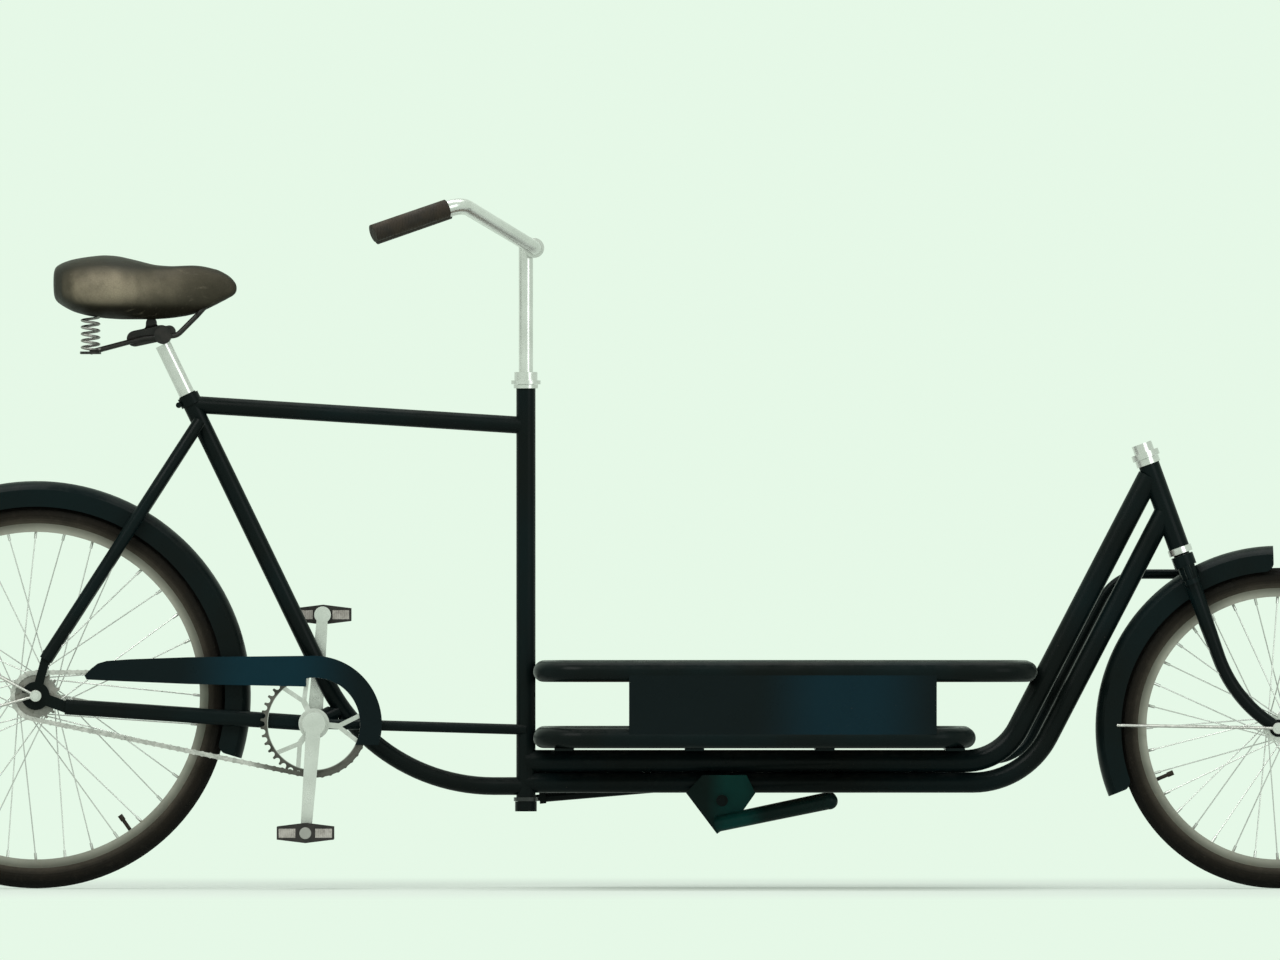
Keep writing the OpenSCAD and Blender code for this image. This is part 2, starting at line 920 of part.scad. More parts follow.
// Point of the chain's pitch line at a distance along the loop, in the plane of the drive
function loop_point(s) =
    let (
        rear_wrap = (180 - 2 * wrap_change) * PI / 180 * sprocket_pitch_r,
        s1 = s - straight_run,
        s2 = s1 - rear_wrap,
        s3 = s2 - straight_run
    )
    s1 < 0 ? arc_point(0, ring_pitch_r, leave_angle) - s * [cos(wrap_change), sin(wrap_change)]
    : s2 < 0 ? arc_point(-chain_centres, sprocket_pitch_r, leave_angle + s1 / sprocket_pitch_r * 180 / PI)
    : s3 < 0 ? arc_point(-chain_centres, sprocket_pitch_r, -leave_angle)
        + s2 * [cos(wrap_change), -sin(wrap_change)]
    : arc_point(0, ring_pitch_r, s3 / ring_pitch_r * 180 / PI - leave_angle);

module link_plate(l, t) {
    translate([0, 0, -t / 2])
        linear_extrude(t)
            union() {
                circle(d = link_h, $fn = 32);
                translate([l, 0])
                    circle(d = link_h, $fn = 32);
                translate([0, -link_h * 0.4])
                    square([l, link_h * 0.8]);
            }
}

module chain_link(l, inner) {
    plate_z = inner ? (roller_l + link_t) / 2 : (roller_l + 3 * link_t) / 2 + link_gap;
    pin_l = roller_l + 4 * link_t + 2 * (link_gap + pin_over);
    core_d = inner ? roller_d : pin_d;
    core_l = inner ? roller_l : pin_l;
    difference() {
        union() {
            for (side = [-1, 1])
                translate([0, 0, side * plate_z])
                    link_plate(l, link_t);
            for (x = [0, l])
                translate([x, 0, 0])
                    cylinder(d = core_d, h = core_l, center = true, $fn = 32);
        }
        if (inner)
            for (x = [0, l])
                translate([x, 0, 0])
                    cylinder(d = pin_d + 2 * link_gap, h = pin_l, center = true, $fn = 32);
    }
}

module drive_plane(y) {
    translate([bb_x, y, bb_height])
        rotate([90, 0, 0])
            rotate([0, 0, chain_tilt])
                children();
}

module chain() {
    color([0.45, 0.43, 0.40])
        drive_plane(-chain_line)
            for (i = [0:chain_links - 1]) {
                a = loop_point(i * pitch);
                b = loop_point((i + 1) % chain_links * pitch);
                d = b - a;
                translate([a.x, a.y, 0])
                    rotate([0, 0, atan2(d.y, d.x)])
                        chain_link(norm(d), i % 2 == 0);
            }
}

// Toothed rim: a disc cut by the rollers of the chain that lies on it
module toothed_disc(teeth, r, phase) {
    gap_r = roller_d / 2 + tooth_gap;
    reach = tooth_h + 1;
    flare = 1.3;
    difference() {
        circle(r = r + tooth_h, $fn = fine);
        for (i = [0:teeth - 1])
            rotate(phase + i * 360 / teeth)
                translate([r, 0]) {
                    circle(r = gap_r, $fn = 32);
                    polygon([[0, -gap_r], [reach, -gap_r - flare], [reach, gap_r + flare], [0, gap_r]]);
                }
    }
}

rear_start = ceil(straight_run / pitch) * pitch - straight_run;
sprocket_phase = leave_angle + rear_start / sprocket_pitch_r * 180 / PI;

// Steering pieces

module steering_shaft() {
    low = arm_z;
    color(dark)
        difference() {
            union() {
                translate([column_x, 0, low])
                    cylinder(d = shaft_d, h = column_top_z + column_cup_h + cup_gap - low);
                translate([column_x, 0, low])
                    cylinder(d = 34, h = column_foot_z - column_cup_h - cup_gap - low);
                translate([column_x - arm_eye_d / 2, 0, low])
                    cube([arm_eye_d, arm_l, arm_t]);
                translate([column_x, arm_l, low])
                    cylinder(d = arm_eye_d, h = arm_t);
                translate([column_x, arm_l, low])
                    cylinder(d = arm_pin_d, h = arm_t + 20);
            }
            translate([column_x, 0, column_top_z - shaft_bore_l])
                cylinder(d = shaft_bore_d, h = shaft_bore_l + 2 * column_cup_h);
        }
}

module column_nut() {
    color(silver)
        translate([column_x, 0, column_top_z + column_cup_h + cup_gap])
            difference() {
                union() {
                    cylinder(d = 46, h = 6);
                    translate([0, 0, 6])
                        cylinder(d = 36, h = nut_h - 12);
                }
                translate([0, 0, -1])
                    cylinder(d = bar_d + 2 * run_gap, h = nut_h);
            }
}

bar_mid = [column_x + clamp_forward, 0, bar_clamp_z];

module stem() {
    color(silver)
        difference() {
            union() {
                translate([column_x, 0, column_top_z - stem_in])
                    cylinder(d = bar_d, h = bar_clamp_z + 4 - column_top_z + stem_in);
                across(bar_mid, -clamp_l / 2, clamp_l / 2, clamp_d);
            }
            across(bar_mid, -clamp_l, clamp_l, bar_d);
        }
}

function bar_path() = let (
        end = bar_mid + [-bar_back - grip_back, grip_end_y, bar_rise - grip_fall],
        bend = end + (grip_l + grip_bare) * unit([grip_back, bar_bend_y - grip_end_y, grip_fall]),
        mid = bar_mid + [0, bar_mid_y, 0]
    ) [end, bend, mid];

function mirrored(p) = [p.x, -p.y, p.z];

module handlebar() {
    p = bar_path();
    points = [p[0], p[1], p[2], mirrored(p[2]), mirrored(p[1]), mirrored(p[0])];
    color(silver)
        bent_bar(points, [bar_bend_r, bar_bend_r, bar_bend_r, bar_bend_r], bar_d);
}

module grips() {
    p = bar_path();
    dir = unit(p[1] - p[0]);
    wall_end = 4;
    color([0.10, 0.08, 0.06])
        both_sides()
            difference() {
                bar(p[0] - wall_end * dir, p[0] + (grip_l - wall_end) * dir, grip_d);
                bar(p[0], p[0] + grip_l * 2 * dir, bar_d);
            }
}

module rod_end() {
    color(silver)
        difference() {
            union() {
                translate(rod_rear_at - [0, 0, rod_eye_h / 2])
                    cylinder(d = rod_eye_d, h = rod_eye_h);
                across(rod_rear_at, arm_l - rod_eye_d / 2 - cheek_t - 2,
                    arm_l + rod_eye_d / 2 + cheek_t + 2, trunnion_d);
            }
            translate(rod_rear_at - [0, 0, rod_eye_h])
                cylinder(d = arm_pin_d + 2 * run_gap, h = 2 * rod_eye_h);
        }
}

module yoke_cheek(reach, turn) {
    circle(d = 18);
    rotate(turn)
        translate([0, -5])
            square([reach, 10]);
}

module steering_rod() {
    yoke_gap = rod_eye_d / 2 + 0.5;
    yoke_reach = rod_eye_d / 2 + 8;
    low_corner = on_rod_slope(rod_low_z);
    top_corner = on_rod_slope(rod_level_z);
    start_dir = unit(low_corner - rod_rear_at);
    start = rod_rear_at + yoke_reach * start_dir;
    end = rod_front_at - [rod_front_eye_d / 2 - 1.5, 0, 0];
    color(dark)
        difference() {
            union() {
                bent_bar([start + cheek_t * start_dir, low_corner, top_corner, end],
                    [rod_bend_r, rod_bend_r], rod_d);
                for (side = [-1, 1])
                    translate(rod_rear_at + [0, side * (yoke_gap + cheek_t / 2), 0])
                        rotate([90, 0, 0])
                            linear_extrude(cheek_t, center = true)
                                yoke_cheek(yoke_reach + cheek_t, atan2(start_dir.z, start_dir.x));
                translate(start)
                    along([0, 0, 0], start_dir)
                        translate([-rod_d / 2 - 2, 0.5 - yoke_gap - cheek_t, 0])
                            cube([rod_d + 4, 2 * (yoke_gap + cheek_t) - 1, 10]);
                along(rod_front_at - 6 * head_dir, rod_front_at + 6 * head_dir)
                    cylinder(d = rod_front_eye_d, h = rod_eye_h);
            }
            across(rod_rear_at, arm_l - 40, arm_l + 40, trunnion_d + 2 * run_gap);
            along(rod_front_at - 20 * head_dir, rod_front_at)
                cylinder(d = rod_eye_bore_d, h = 40);
        }
}

module crown_solid() {
    crown_w = 34;
    along(on_head(crown_bottom), on_head(crown_top)) {
        translate([-crown_w / 2 + 0.5, -blade_y, 0])
            cube([crown_w - 1, 2 * blade_y, crown_h]);
        for (side = [-1, 1])
            translate([0, side * blade_y, 0])
                cylinder(d = crown_w, h = crown_h);
    }
}

module fork() {
    blade_start = crown_bottom + 2;
    blade_l = blade_start - fork_bend_start + bend_overlap;
    arm_h = rod_front_h - rod_eye_h / 2 - arm_t - 2;
    tip_t = 6;
    color(dark)
        difference() {
            union() {
                bar(on_head(crown_bottom), on_head(head_top + 30), steerer_d);
                crown_solid();
                both_sides()
                    translate([0, blade_y, 0]) {
                        along(on_head(blade_start), on_head(fork_bend_start))
                            cylinder(d1 = blade_top_d, d2 = blade_low_d, h = blade_l);
                        fork_tip();
                        across(front_axle_at, -tip_t / 2, tip_t / 2, 27);
                    }
                along(on_head(arm_h), on_head(arm_h + arm_t)) {
                    translate([-11, blade_y, 0])
                        cube([22, arm_l - blade_y, arm_t]);
                    translate([0, arm_l, 0])
                        cylinder(d = 22, h = arm_t);
                    translate([0, arm_l, 0])
                        cylinder(d = arm_pin_d, h = arm_t + rod_eye_h + 10);
                }
            }
            across(front_axle_at, -100, 100, front_axle_d + 2 * run_gap);
        }
}

// Curved lower end of a fork blade, in the plane of the wheel
module fork_tip() {
    start = on_head(fork_bend_start);
    centre = start + fork_bend_r * head_normal;
    multmatrix([[-head_normal.x, -head_dir.x, 0, centre.x], [0, 0, -1, 0],
        [-head_normal.z, -head_dir.z, 0, centre.z]])
        rotate_extrude(angle = fork_turn, $fn = fine)
            translate([fork_bend_r, 0])
                circle(d = blade_low_d - bend_step);
}

module fork_nut() {
    color(silver)
        difference() {
            union() {
                bar(on_head(head_top + head_cup_h + cup_gap), on_head(head_top + 20), 44);
                bar(on_head(head_top + 19), on_head(head_top + 34), 32);
            }
            bar(on_head(head_top), on_head(head_top + 30), steerer_d + 2 * run_gap);
        }
}

module front_axle() {
    nut_y = blade_y + blade_low_d / 2 + stay_eye_t;
    end_y = nut_y + axle_nut_t + 3;
    color(silver) {
        across(front_axle_at, -end_y, end_y, front_axle_d);
        both_sides()
            across(front_axle_at, nut_y, nut_y + axle_nut_t, 16);
    }
}

module front_mudguard() {
    bolt_at = on_head(crown_bottom);
    bolt_dir = unit(front_axle_at - bolt_at);
    color(dark) {
        mudguard(front_axle_at, front_guard_r, 91.5, 202);
        difference() {
            bar(bolt_at - 5 * bolt_dir, bolt_at + (crown_clear + 1) * bolt_dir, 14);
            crown_solid();
        }
    }
}

module front_mudguard_stays() {
    color(silver)
        both_sides()
            guard_stay(front_axle_at, front_guard_r, 179, blade_y + blade_low_d / 2, front_axle_d);
}

// Wheels

module wheel_at(at) {
    translate(at)
        rotate([90, 0, 0])
            children();
}

module rim_section(bead_r) {
    difference() {
        translate([bead_r - rim_depth, -rim_w / 2])
            square([rim_depth + flange_h, rim_w]);
        translate([bead_r - rim_depth / 2, -rim_w / 2 + rim_wall])
            square([rim_depth + flange_h, rim_w - 2 * rim_wall]);
    }
}

module tyre_section(tyre_r, bead_r) {
    centre = tyre_r + crown_cut - tyre_w / 2;
    seat = rim_w / 2 - rim_wall;
    difference() {
        intersection() {
            union() {
                translate([centre, 0])
                    circle(d = tyre_w, $fn = fine);
                translate([bead_r, -seat])
                    square([centre - bead_r, 2 * seat]);
            }
            translate([bead_r, -tyre_w / 2])
                square([tyre_r - bead_r, tyre_w]);
        }
        translate([centre, 0])
            circle(d = tyre_w - 2 * tyre_wall, $fn = fine);
        translate([bead_r - 1, -bead_open])
            square([centre - bead_r, 2 * bead_open]);
        for (side = [-1, 1])
            translate([bead_r - 1, side > 0 ? seat : -seat - tyre_w])
                square([flange_h + 1.1, tyre_w]);
    }
}

module hub_section(end, barrel_r, flange_r, flange_y, axle_d) {
    difference() {
        union() {
            translate([0, -end])
                square([barrel_r, 2 * end]);
            for (side = [-1, 1])
                translate([0, side * flange_y - hub_flange_t / 2])
                    square([flange_r, hub_flange_t]);
        }
        translate([-1, -end - 1])
            square([axle_d / 2 + run_gap + 1, 2 * end + 2]);
    }
}

// Lacing: each spoke leaves its flange forwards or backwards in turn and passes three others
spokes_a_side = spoke_count / 2;
spoke_step = 360 / spokes_a_side;
spoke_elbow_d = 0.9 * spoke_d;
spoke_over = 2;
function spoke_hand(k) = k % 2 == 0 ? 1 : -1;
function spoke_lift(k) = (hub_flange_t + spoke_d) / 2 + 0.1 + (spoke_hand(k) > 0 ? spoke_over : 0);
function flange_angle(side, k) = k * spoke_step + (side > 0 ? spoke_step / 2 : 0);
function on_circle(r, a, z) = [r * cos(a), r * sin(a), z];

// Places its children at each spoke: local +Z runs from the hub flange to the rim
module each_spoke(hole_r, flange_y, bead_r) {
    rim_y = 2;
    for (side = [-1, 1], k = [0:spokes_a_side - 1]) {
        a = flange_angle(side, k);
        b = a + spoke_hand(k) * spoke_cross * spoke_step;
        from = on_circle(hole_r, a, side * (flange_y + spoke_hand(k) * spoke_lift(k)));
        to = on_circle(bead_r - rim_depth / 2, b, side * rim_y);
        $spoke_l = norm(to - from);
        along(from, to)
            children();
    }
}

// Places its children at each hole of the hub flanges: local +Z runs inwards from the spoke
module each_flange_hole(hole_r, flange_y) {
    for (side = [-1, 1], k = [0:spokes_a_side - 1]) {
        $elbow_l = spoke_lift(k) + hub_flange_t / 2 + 0.8 * spoke_d;
        translate(on_circle(hole_r, flange_angle(side, k), side * (flange_y + spoke_hand(k) * spoke_lift(k))))
            rotate([side * spoke_hand(k) > 0 ? 180 : 0, 0, 0])
                children();
    }
}

module spokes(hole_r, flange_y, bead_r) {
    each_spoke(hole_r, flange_y, bead_r) {
        cylinder(d = spoke_d, h = $spoke_l, $fn = 32);
        translate([0, 0, $spoke_l - nipple_l])
            cylinder(d = nipple_d, h = nipple_l + 1, $fn = 32);
    }
    each_flange_hole(hole_r, flange_y)
        cylinder(d = spoke_elbow_d, h = $elbow_l, $fn = 32);
}

module flange_holes(hole_r, flange_y) {
    each_flange_hole(hole_r, flange_y)
        cylinder(d = spoke_elbow_d + 4 * run_gap, h = $elbow_l + spoke_d, $fn = 32);
}

module nipple_holes(hole_r, flange_y, bead_r) {
    each_spoke(hole_r, flange_y, bead_r)
        translate([0, 0, $spoke_l - nipple_l])
            cylinder(d = nipple_d + 2 * run_gap, h = nipple_l * 2, $fn = 32);
}

module hub(end, barrel_r, flange_r, flange_y, axle_d) {
    difference() {
        rotate(90 / spoke_count)
            rotate_extrude($fn = 64)
                hub_section(end, barrel_r, flange_r, flange_y, axle_d);
        flange_holes(flange_r - 4, flange_y);
    }
}

module rim(hole_r, flange_y, bead_r) {
    difference() {
        rotate(180 / spoke_count)
            rotate_extrude($fn = fine)
                rim_section(bead_r);
        nipple_holes(hole_r, flange_y, bead_r);
    }
}

module valve(bead_r, turn) {
    rotate(turn)
        translate([bead_r - rim_depth - 28, 0, 0])
            rotate([0, 90, 0]) {
                cylinder(d = 6, h = 28);
                cylinder(d = 8, h = 10);
            }
}

module front_hub() {
    color(silver)
        wheel_at(front_axle_at)
            hub(front_hub_end, 12, front_flange_r, front_flange_y, front_axle_d);
}

module front_spokes() {
    color(silver)
        wheel_at(front_axle_at)
            spokes(front_flange_r - 4, front_flange_y, front_bead_d / 2);
}

module front_rim() {
    color([0.62, 0.59, 0.53])
        wheel_at(front_axle_at)
            rim(front_flange_r - 4, front_flange_y, front_bead_d / 2);
}

module front_tyre() {
    color([0.09, 0.08, 0.07])
        wheel_at(front_axle_at)
            rotate_extrude($fn = fine)
                tyre_section(front_r, front_bead_d / 2);
}

module front_valve() {
    color([0.2, 0.2, 0.2])
        wheel_at(front_axle_at)
            valve(front_bead_d / 2, 203);
}

module rear_hub() {
    color(silver)
        wheel_at(rear_axle_at)
            hub(rear_hub_end, 22, rear_flange_r, rear_flange_y, rear_axle_d);
}

module rear_spokes() {
    color(silver)
        wheel_at(rear_axle_at)
            spokes(rear_flange_r - 4, rear_flange_y, rear_bead_d / 2);
}

module rear_rim() {
    color([0.62, 0.59, 0.53])
        wheel_at(rear_axle_at)
            rim(rear_flange_r - 4, rear_flange_y, rear_bead_d / 2);
}

module rear_tyre() {
    color([0.09, 0.08, 0.07])
        wheel_at(rear_axle_at)
            rotate_extrude($fn = fine)
                tyre_section(rear_r, rear_bead_d / 2);
}

module rear_valve() {
    color([0.2, 0.2, 0.2])
        wheel_at(rear_axle_at)
            valve(rear_bead_d / 2, 305);
}

module rear_sprocket() {
    sleeve_in = rear_hub_end + cup_gap;
    sleeve_out = chain_line + 4.8;
    color([0.4, 0.4, 0.4])
        difference() {
            union() {
                drive_plane(-chain_line)
                    translate([-chain_centres, 0, -ring_t / 2])
                        linear_extrude(ring_t)
                            toothed_disc(sprocket_teeth, sprocket_pitch_r, sprocket_phase);
                across(rear_axle_at, -sleeve_out, -sleeve_in, 32);
            }
            across(rear_axle_at, -100, 0, rear_axle_d + 2 * run_gap);
        }
}

// Cranks and pedals

crank_angle = -90 - crank_turn;
crank_dir = [cos(crank_angle), 0, sin(crank_angle)];
pedal_start = crank_inner_y + crank_t + pedal_gap;

module crank_axle() {
    color(silver)
        across(bb_at, -crank_inner_y - crank_t, crank_inner_y + crank_t, crank_axle_d);
}

module chainring() {
    ring_w = 9;
    spider_r = ring_pitch_r - ring_w / 2 - 4;
    arm_count = 3;
    color(silver)
        drive_plane(-chain_line)
            translate([0, 0, -ring_t / 2]) {
                linear_extrude(ring_t)
                    difference() {
                        toothed_disc(chainring_teeth, ring_pitch_r, leave_angle);
                        circle(r = ring_pitch_r - ring_w, $fn = fine);
                    }
                linear_extrude(ring_t)
                    difference() {
                        union() {
                            circle(r = 24);
                            for (i = [0:arm_count - 1])
                                rotate(i * 360 / arm_count)
                                    spider_arm(spider_r);
                        }
                        circle(d = crank_axle_d);
                    }
                difference() {
                    cylinder(d = 40, h = crank_inner_y - chain_line + ring_t / 2);
                    translate([0, 0, -1])
                        cylinder(d = crank_axle_d, h = 60);
                }
            }
}

// Y-shaped arm that forks towards the ring
module spider_arm(r) {
    arm_w = 9;
    fork_at = r * 0.55;
    translate([0, -arm_w / 2])
        square([fork_at, arm_w]);
    for (side = [-1, 1])
        translate([fork_at - 2, 0])
            rotate(side * 32)
                translate([0, -arm_w / 2 + 1])
                    square([r * 0.52, arm_w - 2]);
}

// Crank arm with its pedal spindle; side 1 is the left one
module crank(side) {
    end = bb_at - side * crank_l * crank_dir;
    y_in = crank_inner_y;
    y_out = crank_inner_y + crank_t;
    bevel = 1;
    mirror([0, side > 0 ? 0 : 1, 0])
        difference() {
            union() {
                across(bb_at, y_in, y_out, crank_eye_d);
                across(end, y_in, y_out, pedal_eye_d);
                hull() {
                    across(bb_at, y_in + bevel, y_out - bevel, 24);
                    across(end, y_in + bevel, y_out - bevel, 17);
                }
                across(end, y_in, pedal_start + pedal_w - 4, spindle_d);
            }
            across(bb_at, 0, 2 * y_out, crank_axle_d);
        }
}

module crank_right() {
    color(silver)
        crank(-1);
}

module crank_left() {
    color(silver)
        crank(1);
}

// Cage of a pedal: a sleeve on the spindle and a lozenge plate at each end
module pedal(side) {
    at = bb_at - side * crank_l * crank_dir;
    y_in = pedal_start;
    y_out = pedal_start + pedal_w;
    color([0.08, 0.08, 0.08])
        mirror([0, side > 0 ? 0 : 1, 0])
            difference() {
                union() {
                    across(at, y_in, y_out, 16);
                    for (y = [y_in, y_out - pedal_plate_t])
                        translate([at.x, y + pedal_plate_t, at.z])
                            rotate([90, 0, 0])
                                linear_extrude(pedal_plate_t)
                                    pedal_plate();
                }
                across(at, 0, y_out - 3, spindle_d + 2 * run_gap);
            }
}

module pedal_plate() {
    end_h = 20;
    difference() {
        polygon([[-pedal_l / 2, -end_h / 2], [0, -pedal_h / 2], [pedal_l / 2, -end_h / 2],
            [pedal_l / 2, end_h / 2], [0, pedal_h / 2], [-pedal_l / 2, end_h / 2]]);
        pedal_block_outlines();
    }
}

module pedal_block_outlines() {
    for (end = [-1, 1])
        translate([end * block_x, 0])
            square([block_l, block_h], center = true);
}

// Rubber blocks that run through both plates of a pedal
module pedal_blocks(side) {
    at = bb_at - side * crank_l * crank_dir;
    color([0.75, 0.74, 0.70])
        mirror([0, side > 0 ? 0 : 1, 0])
            translate([at.x, pedal_start + pedal_w, at.z])
                rotate([90, 0, 0])
                    linear_extrude(pedal_w)
                        pedal_block_outlines();
}

module pedal_right() {
    pedal(-1);
}

module pedal_left() {
    pedal(1);
}

module pedal_blocks_right() {
    pedal_blocks(-1);
}

module pedal_blocks_left() {
    pedal_blocks(1);
}

// Stand, folded forward under the bed

module stand() {
    leg_y = stand_plate_y + leg_d / 2;
    heel = stand_at + [-6, leg_y, -leg_drop];
    foot = stand_at + [leg_reach, foot_y, 0];
    color(dark)
        difference() {
            union() {
                both_sides() {
                    translate([stand_x, stand_plate_y + stand_plate_t, stand_z])
                        rotate([90, 0, 0])
                            linear_extrude(stand_plate_t)
                                polygon([for (p = stand_plate_shape) stand_plate_r * p]);
                    bar(heel, foot, leg_d);
                    translate(foot)
                        sphere(d = leg_d + 1);
                }
            }
            across(stand_at, -foot_y, foot_y, stand_bolt_d + 2 * run_gap);
        }
}

// Seat post and saddle

module seat_post() {
    color(silver)
        bar(seat_top - post_in * seat_dir, post_top, post_d);
}

module saddle_frame() {
    nose_rise = saddle_base_z - saddle_clamp_at.z + 1;
    nose = saddle_clamp_at + [rail_wire_nose, rail_wire_y - rail_wire_d, nose_rise];
    front = saddle_clamp_at + [rail_wire_front, rail_wire_y, 0];
    rear = saddle_clamp_at + [-rail_wire_rear, rail_wire_y, -rail_wire_d / 2];
    seat = spring_at;
    color([0.15, 0.15, 0.15]) {
        both_sides() {
            bent_bar([nose, front, rear, seat], [18, 30], rail_wire_d);
            translate(seat - [0, 0, 3])
                cylinder(r = spring_r + 3, h = 4);
            translate(seat)
                coil(spring_r, spring_wire_d, spring_h - seat_gap, spring_turns);
        }
        difference() {
            across(saddle_clamp_at, -rail_wire_y - rail_wire_d, rail_wire_y + rail_wire_d, saddle_clamp_d);
            bar(seat_top, post_top, post_d);
        }
    }
}

// Points of a ring of the wire round the coil's path
function coil_ring(t, r, wire_r, h, turns) = let (
        a = 360 * turns * t,
        centre = [r * cos(a), r * sin(a), wire_r + t * (h - 2 * wire_r)]
    ) [for (k = [0:7]) centre + wire_r * (cos(k * 45) * [cos(a), sin(a), 0] + sin(k * 45) * [0, 0, 1])];

module coil(r, wire_d, h, turns) {
    rings = turns * 14;
    points = [for (i = [0:rings]) each coil_ring(i / rings, r, wire_d / 2, h, turns)];
    sides = [for (i = [0:rings - 1], k = [0:7])
        [i * 8 + k, i * 8 + (k + 1) % 8, (i + 1) * 8 + (k + 1) % 8, (i + 1) * 8 + k]];
    start = [[for (k = [0:7]) 7 - k]];
    end = [[for (k = [0:7]) rings * 8 + k]];
    polyhedron(points, concat(sides, start, end));
}

module saddle_slice(x, w, low, high) {
    translate([x, 0, low])
        rotate([90, 0, 90])
            linear_extrude(1)
                intersection() {
                    scale([w / 2, high - low])
                        circle(r = 1, $fn = 32);
                    translate([-w, 0])
                        square([2 * w, high]);
                }
}

module saddle_cover() {
    rear = saddle_x - saddle_l;
    slices = [[0, 0.55, 0.17, 0.745], [0.1, 0.9, 0.043, 0.98], [0.3, 1, 0, 1], [0.5, 0.78, 0, 0.872],
        [0.72, 0.36, 0.064, 0.872], [0.9, 0.3, 0.15, 0.872], [1, 0.14, 0.32, 0.66]];
    color([0.30, 0.27, 0.20])
        for (i = [0:len(slices) - 2])
            hull()
                for (k = [i, i + 1])
                    saddle_slice(rear + slices[k][0] * (saddle_l - 1), slices[k][1] * saddle_w,
                        saddle_base_z + slices[k][2] * saddle_h, saddle_base_z + slices[k][3] * saddle_h);
}

seat_tube();
top_tube();
seat_stays();
chain_stays();
bottom_bracket();
brace_bars();
column_tube();
neck_upper_tube();
neck_lower_tube();
head_tube();
upper_rail();
lower_rail();
cross_bars();
floor_board();
side_plates();
chain_guard();
rear_mudguard();
rear_mudguard_stays();
bearing_cups();
bb_cups();
seat_clamp();
stand_bracket();
rear_axle();
brake_arm();
chain();
steering_shaft();
column_nut();
stem();
handlebar();
grips();
rod_end();
steering_rod();
fork();
fork_nut();
front_axle();
front_mudguard();
front_mudguard_stays();
front_hub();
front_spokes();
front_rim();
front_tyre();
front_valve();
rear_hub();
rear_spokes();
rear_rim();
rear_tyre();
rear_valve();
rear_sprocket();
crank_axle();
chainring();
crank_right();
crank_left();
pedal_right();
pedal_left();
pedal_blocks_right();
pedal_blocks_left();
stand();
seat_post();
saddle_frame();
saddle_cover();
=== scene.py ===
import json
import math

import bmesh
import bpy
from mathutils import Matrix, Vector


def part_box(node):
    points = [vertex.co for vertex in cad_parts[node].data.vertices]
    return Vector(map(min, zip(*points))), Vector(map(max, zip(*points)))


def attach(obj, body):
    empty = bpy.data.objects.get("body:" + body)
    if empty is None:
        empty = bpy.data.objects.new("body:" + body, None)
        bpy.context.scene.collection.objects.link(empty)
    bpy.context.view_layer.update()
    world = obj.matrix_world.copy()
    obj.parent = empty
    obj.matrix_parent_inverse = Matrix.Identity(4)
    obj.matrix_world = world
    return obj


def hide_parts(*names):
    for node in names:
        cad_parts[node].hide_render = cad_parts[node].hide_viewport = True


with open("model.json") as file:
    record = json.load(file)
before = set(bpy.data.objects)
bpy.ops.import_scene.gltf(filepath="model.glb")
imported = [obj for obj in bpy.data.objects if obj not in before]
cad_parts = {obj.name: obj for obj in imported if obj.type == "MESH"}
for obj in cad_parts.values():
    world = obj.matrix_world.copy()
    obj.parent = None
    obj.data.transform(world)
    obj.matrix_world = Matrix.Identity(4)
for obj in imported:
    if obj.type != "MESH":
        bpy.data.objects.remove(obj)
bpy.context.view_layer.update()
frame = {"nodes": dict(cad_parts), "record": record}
nodes = frame["nodes"]


def side_centre(box):
    """Middle of a box in the side view: place along the length and height."""
    low, high = box
    return (low[0] + high[0]) / 2, (low[2] + high[2]) / 2


def half_height(box):
    low, high = box
    return (high[2] - low[2]) / 2


# Wheels and crank, in metres, and the number of chevron blocks round each tyre
REAR_AXLE = side_centre(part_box("rear_tyre"))
FRONT_AXLE = side_centre(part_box("front_tyre"))
CRANK_AXLE = side_centre(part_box("crank_axle"))
REAR_R = half_height(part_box("rear_tyre"))
FRONT_R = half_height(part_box("front_tyre"))
TYRE_H = 0.038
REAR_BLOCKS = 92.0
FRONT_BLOCKS = 76.0

# Saddle: its cover, the springs at the back and the boss on the post that grips the rails
SADDLE_LOW, SADDLE_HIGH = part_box("saddle_cover")
SADDLE_L = SADDLE_HIGH[0] - SADDLE_LOW[0]
SADDLE_RISE = SADDLE_HIGH[2] - SADDLE_LOW[2]
SPRING_W = 0.033
SPRING_PLATE = 0.006
SPRING_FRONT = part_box("saddle_frame")[0][0] + SPRING_W
SPRING_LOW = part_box("saddle_frame")[0][2] + SPRING_PLATE
NOSE_TO_BOSS = 0.117
COVER_TO_BOSS = 0.029
BOSS = (SADDLE_HIGH[0] - NOSE_TO_BOSS, SADDLE_LOW[2] - COVER_TO_BOSS)

# Places along the length where a painted teal sheen stands on the paint, and the height below which bearing
# cups are painted
GUARD_SHEEN_X = -0.56
PLATE_SHEEN_X = 0.34
STAND_SHEEN_X = 0.165
CUP_PAINT_Z = 0.3

# Pale green of the backdrop, as the camera sees it
BACKDROP = (0.79, 0.94, 0.80, 1.0)


